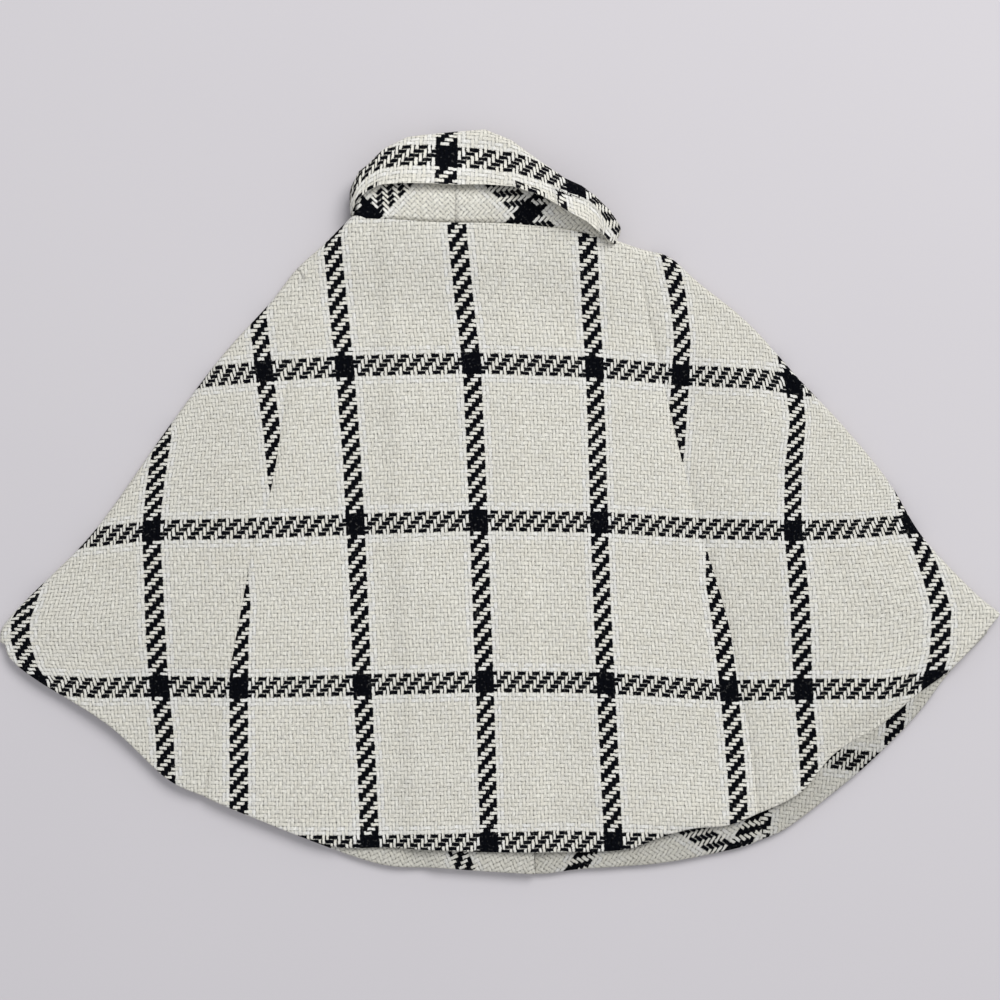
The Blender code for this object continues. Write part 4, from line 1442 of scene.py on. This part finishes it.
def check(twill):
    """Whether the yarn that shows is black, beside a line or near one, and the gaps and pits as
    masks for painted shade.
    """
    end_away = from_line(twill.whole_end, float(ENDS_BETWEEN))
    pick_away = from_line(twill.whole_pick, float(PICKS_BETWEEN))
    nearest = end_away.math("MINIMUM", pick_away)
    beside_end = twill.beside_end.math("ABSOLUTE")
    beside_pick = twill.beside_pick.math("ABSOLUTE")
    beside_top = twill.pick_over.pick(beside_end, beside_pick)
    pick_side = (pick_away < BLACK_ENDS).pick(PICK_HALF, BLACK_PICK_HALF)
    side = twill.pick_over * (pick_side - END_HALF) + END_HALF
    showing = beside_top < side
    over_end = showing.pick(nearest, end_away)
    over_pick = showing.pick(end_away, pick_away)
    top_away = twill.pick_over.pick(over_end, over_pick)
    # how far into a gap and into a pit each place lies: masks for painted shade in the colour
    painted_gap_shade = ((beside_top - side) * 9.0 + 0.3).clamped()
    painted_pit_shade = ((beside_end.math("MINIMUM", beside_pick) - PIT_START) * 7.0).clamped()
    black, beside_line = top_away < BLACK_ENDS, top_away < WHITE_ENDS
    return black, beside_line, nearest < WHITE_ENDS, painted_gap_shade, painted_pit_shade


# %% [markdown]
# ## The colour of the yarns
# The pale yarns are a mix of cream and tan, whiter beside the black lines, as they are in the
# real cloth. Each yarn and each float has a tone of its own, and a few pale hairs cross the
# black ones. All of it is in the Base Color, so that it is kept when the model is exported.

# %% The colour of the yarns
CREAM = (0.800, 0.780, 0.690)
WHITE = (0.86, 0.86, 0.84)
TAN = (0.66, 0.61, 0.50)
BLACK = (0.0025, 0.003, 0.005)
# keeps the random tones of the picks apart from those of the ends
PICK_TONES = 400.0
CLOUD_SCALE = 28.0


def yarn_colour(tree, place, twill, flecks, black, beside_line, near_line):
    top_yarn = twill.pick_over.pick(twill.whole_end, twill.whole_pick + PICK_TONES)
    yarn_chance = chance(tree, joined(tree, top_yarn, twill.pick_over))
    float_chance = chance(tree, joined(tree, twill.whole_end, twill.whole_pick))
    cloud = noise(tree, place, CLOUD_SCALE, 3.0)
    warm = (cloud * 0.5 + yarn_chance * 0.55 + float_chance * 0.35 - 0.42).clamped()
    ground = mixed(tree, warm * 0.42, CREAM, TAN)
    whitened = (near_line * 0.15 + beside_line * 0.32 + (float_chance - 0.45) * 0.4).clamped()
    ground = mixed(tree, whitened, ground, WHITE)
    hairy = ((flecks - 0.60) * 5.0).clamped() * 0.10
    inked = black * (hairy * -1.0 + 1.0)
    return mixed(tree, inked, ground, BLACK)


# %% [markdown]
# ## The material
# Wool scatters light and hardly shines, so the shader is rough, with little gloss or sheen.
# Two Bump nodes round the yarns and roughen their fibres. Real displacement would show the
# same from this far away, at millions of faces.

# %% The checked wool
ROUGHNESS = 0.92
GLOSS = 0.02
SHEEN = 0.01
SHEEN_ROUGHNESS = 0.6
FLECK_SCALE = 620.0
# depth in metres and strength
YARN_BUMP = (0.00042, 0.8)
FIBRE_BUMP = (0.00018, 0.7)


def bumped(tree, height, sizes):
    node = tree.nodes.new("ShaderNodeBump")
    distance, strength = sizes
    node.inputs["Distance"].default_value = distance
    node.inputs["Strength"].default_value = strength
    tree.links.new(height.socket, node.inputs["Height"])
    return node


def multiplied(tree, colour, factor):
    node = tree.nodes.new("ShaderNodeMix")
    node.data_type = "RGBA"
    node.blend_type = "MULTIPLY"
    node.inputs["Factor"].default_value = 1.0
    tree.links.new(colour, node.inputs[6])
    tree.links.new(factor.socket, node.inputs[7])
    return node.outputs[2]


def checked_wool(name, shade=1.0):
    material = bpy.data.materials.new(name)
    material.use_nodes = True
    tree = material.node_tree
    shader = tree.nodes["Principled BSDF"]
    shader.inputs["Roughness"].default_value = ROUGHNESS
    shader.inputs["Specular IOR Level"].default_value = GLOSS
    shader.inputs["Sheen Weight"].default_value = SHEEN
    shader.inputs["Sheen Roughness"].default_value = SHEEN_ROUGHNESS
    layer = tree.nodes.new("ShaderNodeUVMap")
    layer.uv_map = "Yarns"
    place = tree.nodes.new("ShaderNodeTexCoord").outputs["Object"]
    split = tree.nodes.new("ShaderNodeSeparateXYZ")
    tree.links.new(layer.outputs[0], split.inputs[0])
    end = strayed(tree, place, Sum(tree, split.outputs[0]), END_STRAYS)
    pick = strayed(tree, place, Sum(tree, split.outputs[1]), PICK_STRAYS)
    twill = Twill(end, pick)
    height = twill.height()
    *lines, painted_gap_shade, painted_pit_shade = check(twill)

    along = twill.pick_over.pick(pick, end)
    across = twill.pick_over.pick(end, pick)
    fibres = noise(tree, joined(tree, across * 9.0, along * 1.6), 1.0, 3.0)
    flecks = noise(tree, place, FLECK_SCALE, 2.0)
    streaks = noise(tree, joined(tree, end * 2.6, pick * 0.55), 1.0, 2.0)
    colour = yarn_colour(tree, place, twill, flecks, *lines)
    # painted shade and light in the Base Color: the low sides of the yarns, the gaps and the pits
    # are darkened, and each cut is darkened or brightened by its shade; fibres and streaks are the
    # yarns' own tone
    tone_and_painted_shade = height * 0.10 + (fibres - 0.5) * 0.8 + (streaks - 0.5) * 0.6 + 0.79
    depth = (tone_and_painted_shade - painted_gap_shade * 0.19 - painted_pit_shade * 0.40).clamped() * shade
    tree.links.new(multiplied(tree, colour, depth), shader.inputs["Base Color"])

    yarn_bump = bumped(tree, height, YARN_BUMP)
    fibre_bump = bumped(tree, fibres + flecks, FIBRE_BUMP)
    tree.links.new(yarn_bump.outputs[0], fibre_bump.inputs["Normal"])
    tree.links.new(fibre_bump.outputs[0], shader.inputs["Normal"])
    return material


# %% [markdown]
# ## Four cuts of one wool
# Every piece is cut from the same cloth, but each lies in its own light. So the same material is
# made again for each slot, a little darker or brighter: painted shade or painted light.

# %% Dress the pieces
# painted shade or light for each cut of the wool: the hem turning is darkened, as it lies in the
# back's shade, and the collar's cuts are brightened
SHADES = {"checked_wool": 1.0, "hem_wool": 0.82, "bias_wool": 1.06, "collar_wool": 1.03}
# pieces that lie a little more in the shade than the rest of their slot
IN_SHADE = {
    "left_side_cloth": 0.96, "right_side_cloth": 0.96,
    "right_hem_turning": 0.88, "side_hem_turning": 0.88,
}
wools = {}
for piece in ALL_PIECES:
    slot, share = piece["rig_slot"], IN_SHADE.get(piece.name, 1.0)
    if (slot, share) not in wools:
        name = slot.replace("_", " ") + (f" in shade {share:.2f}" if share < 1 else "")
        wools[slot, share] = checked_wool(name, SHADES[slot] * share)
    piece.data.materials.append(wools[slot, share])
print("wools:", ", ".join(sorted(material.name for material in wools.values())))

# %% [markdown]
# ## What each piece stands for
# Every piece takes the place of its own solid, which is hidden. The table gives how large each
# cloth was cut. The solid stays in the physics model, where it is simpler and quicker to
# collide with.

# %% Cloth in place of the solids
# node, cut width, cut length and share of that rectangle, and what the piece rests on
CUTS = {
    "back_centre_cloth": ("back_centre", 0.345, 0.395, 0.78, ["front_left", "front_right"]),
    "left_side_cloth": ("side_left", 0.300, 0.330, 0.53, []),
    "right_side_cloth": ("side_right", 0.345, 0.370, 0.56, []),
    "left_front_cloth": ("front_left", 0.205, 0.405, 0.75, []),
    "right_front_cloth": ("front_right", 0.217, 0.392, 0.77, []),
    "left_hem_turning": ("hem_turning_left", 0.215, 0.041, 0.88, ["front_left"]),
    "right_hem_turning": ("hem_turning_right", 0.145, 0.041, 0.92, ["front_right"]),
    "side_hem_turning": ("hem_turning_side", 0.185, 0.039, 0.87, ["side_right"]),
    "left_under_collar_cloth": ("under_collar_left", 0.165, 0.068, 0.74, ["back_centre"]),
    "right_under_collar_cloth": ("under_collar_right", 0.210, 0.074, 0.75, ["back_centre"]),
    "upper_collar_cloth": ("upper_collar", 0.375, 0.082, 0.72, ["under_collar_left"]),
}
for piece in ALL_PIECES:
    node, width, length, share, below = CUTS[piece.name]
    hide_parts(node)
print("pieces in place of solids:", len(ALL_PIECES))

# %% [markdown]
# ## Floor, light and camera
# The coat lies on a plain pale surface under a wide soft light, a little from the upper right,
# so that its shadow falls to the lower left. The camera looks straight down.

# %% Floor
FLOOR_SIZE = 6.0
FLOOR_DARK = (0.575, 0.552, 0.572)
FLOOR_PALE = (0.605, 0.582, 0.597)


def pale_floor():
    bpy.ops.mesh.primitive_plane_add(size=FLOOR_SIZE)
    floor = bpy.context.object
    floor.name = "pale_floor"
    material = bpy.data.materials.new("pale floor paint")
    material.use_nodes = True
    tree = material.node_tree
    shader = tree.nodes["Principled BSDF"]
    shader.inputs["Roughness"].default_value = 0.6
    shader.inputs["Specular IOR Level"].default_value = 0.2
    place = tree.nodes.new("ShaderNodeTexCoord").outputs["Object"]
    mottle = noise(tree, place, 3.0, 3.0)
    colour = mixed(tree, mottle, FLOOR_DARK, FLOOR_PALE)
    tree.links.new(colour, shader.inputs["Base Color"])
    floor.data.materials.append(material)


pale_floor()
print("floor:", FLOOR_SIZE, "m wide")

# %% Light
LIGHT_PLACE = (1.1, 1.8, 2.6)
LIGHT_SIZE = 2.0
LIGHT_POWER = 76.0
ROOM_COLOUR = (0.95, 0.96, 1.0, 1.0)
ROOM_STRENGTH = 0.62


def soft_light(name, place, size, power):
    """A round lamp that shines at the middle of the coat."""
    light = bpy.data.lights.new(name, "AREA")
    light.shape = "DISK"
    light.size = size
    light.energy = power
    lamp = bpy.data.objects.new(name, light)
    lamp.location = place
    way = -lamp.location
    lamp.rotation_euler = way.to_track_quat("-Z", "Y").to_euler()
    bpy.context.collection.objects.link(lamp)


soft_light("window light", LIGHT_PLACE, LIGHT_SIZE, LIGHT_POWER)
world = bpy.data.worlds.new("pale room")
world.use_nodes = True
room = world.node_tree.nodes["Background"]
room.inputs["Color"].default_value = ROOM_COLOUR
room.inputs["Strength"].default_value = ROOM_STRENGTH
bpy.context.scene.world = world
bpy.context.scene.view_settings.view_transform = "Standard"
print("window light:", round(Vector(LIGHT_PLACE).length, 1), "m away")

# %% [markdown]
# ## The camera
# The picture was taken from straight above, so the camera hangs over the coat's middle. Its
# lens follows from its height and from how much it has to see.

# %% Camera
CAMERA_HEIGHT = 1.6
PICTURE_WIDTH = 0.62
PICTURE_MIDDLE_Y = 0.0014
SENSOR_WIDTH = 36.0
camera = bpy.data.objects.new("camera", bpy.data.cameras.new("camera"))
camera.location = (0.0, PICTURE_MIDDLE_Y, CAMERA_HEIGHT)
camera.data.sensor_width = SENSOR_WIDTH
camera.data.lens = SENSOR_WIDTH * CAMERA_HEIGHT / PICTURE_WIDTH
bpy.context.collection.objects.link(camera)
bpy.context.scene.camera = camera
print("camera lens:", round(camera.data.lens), "mm")
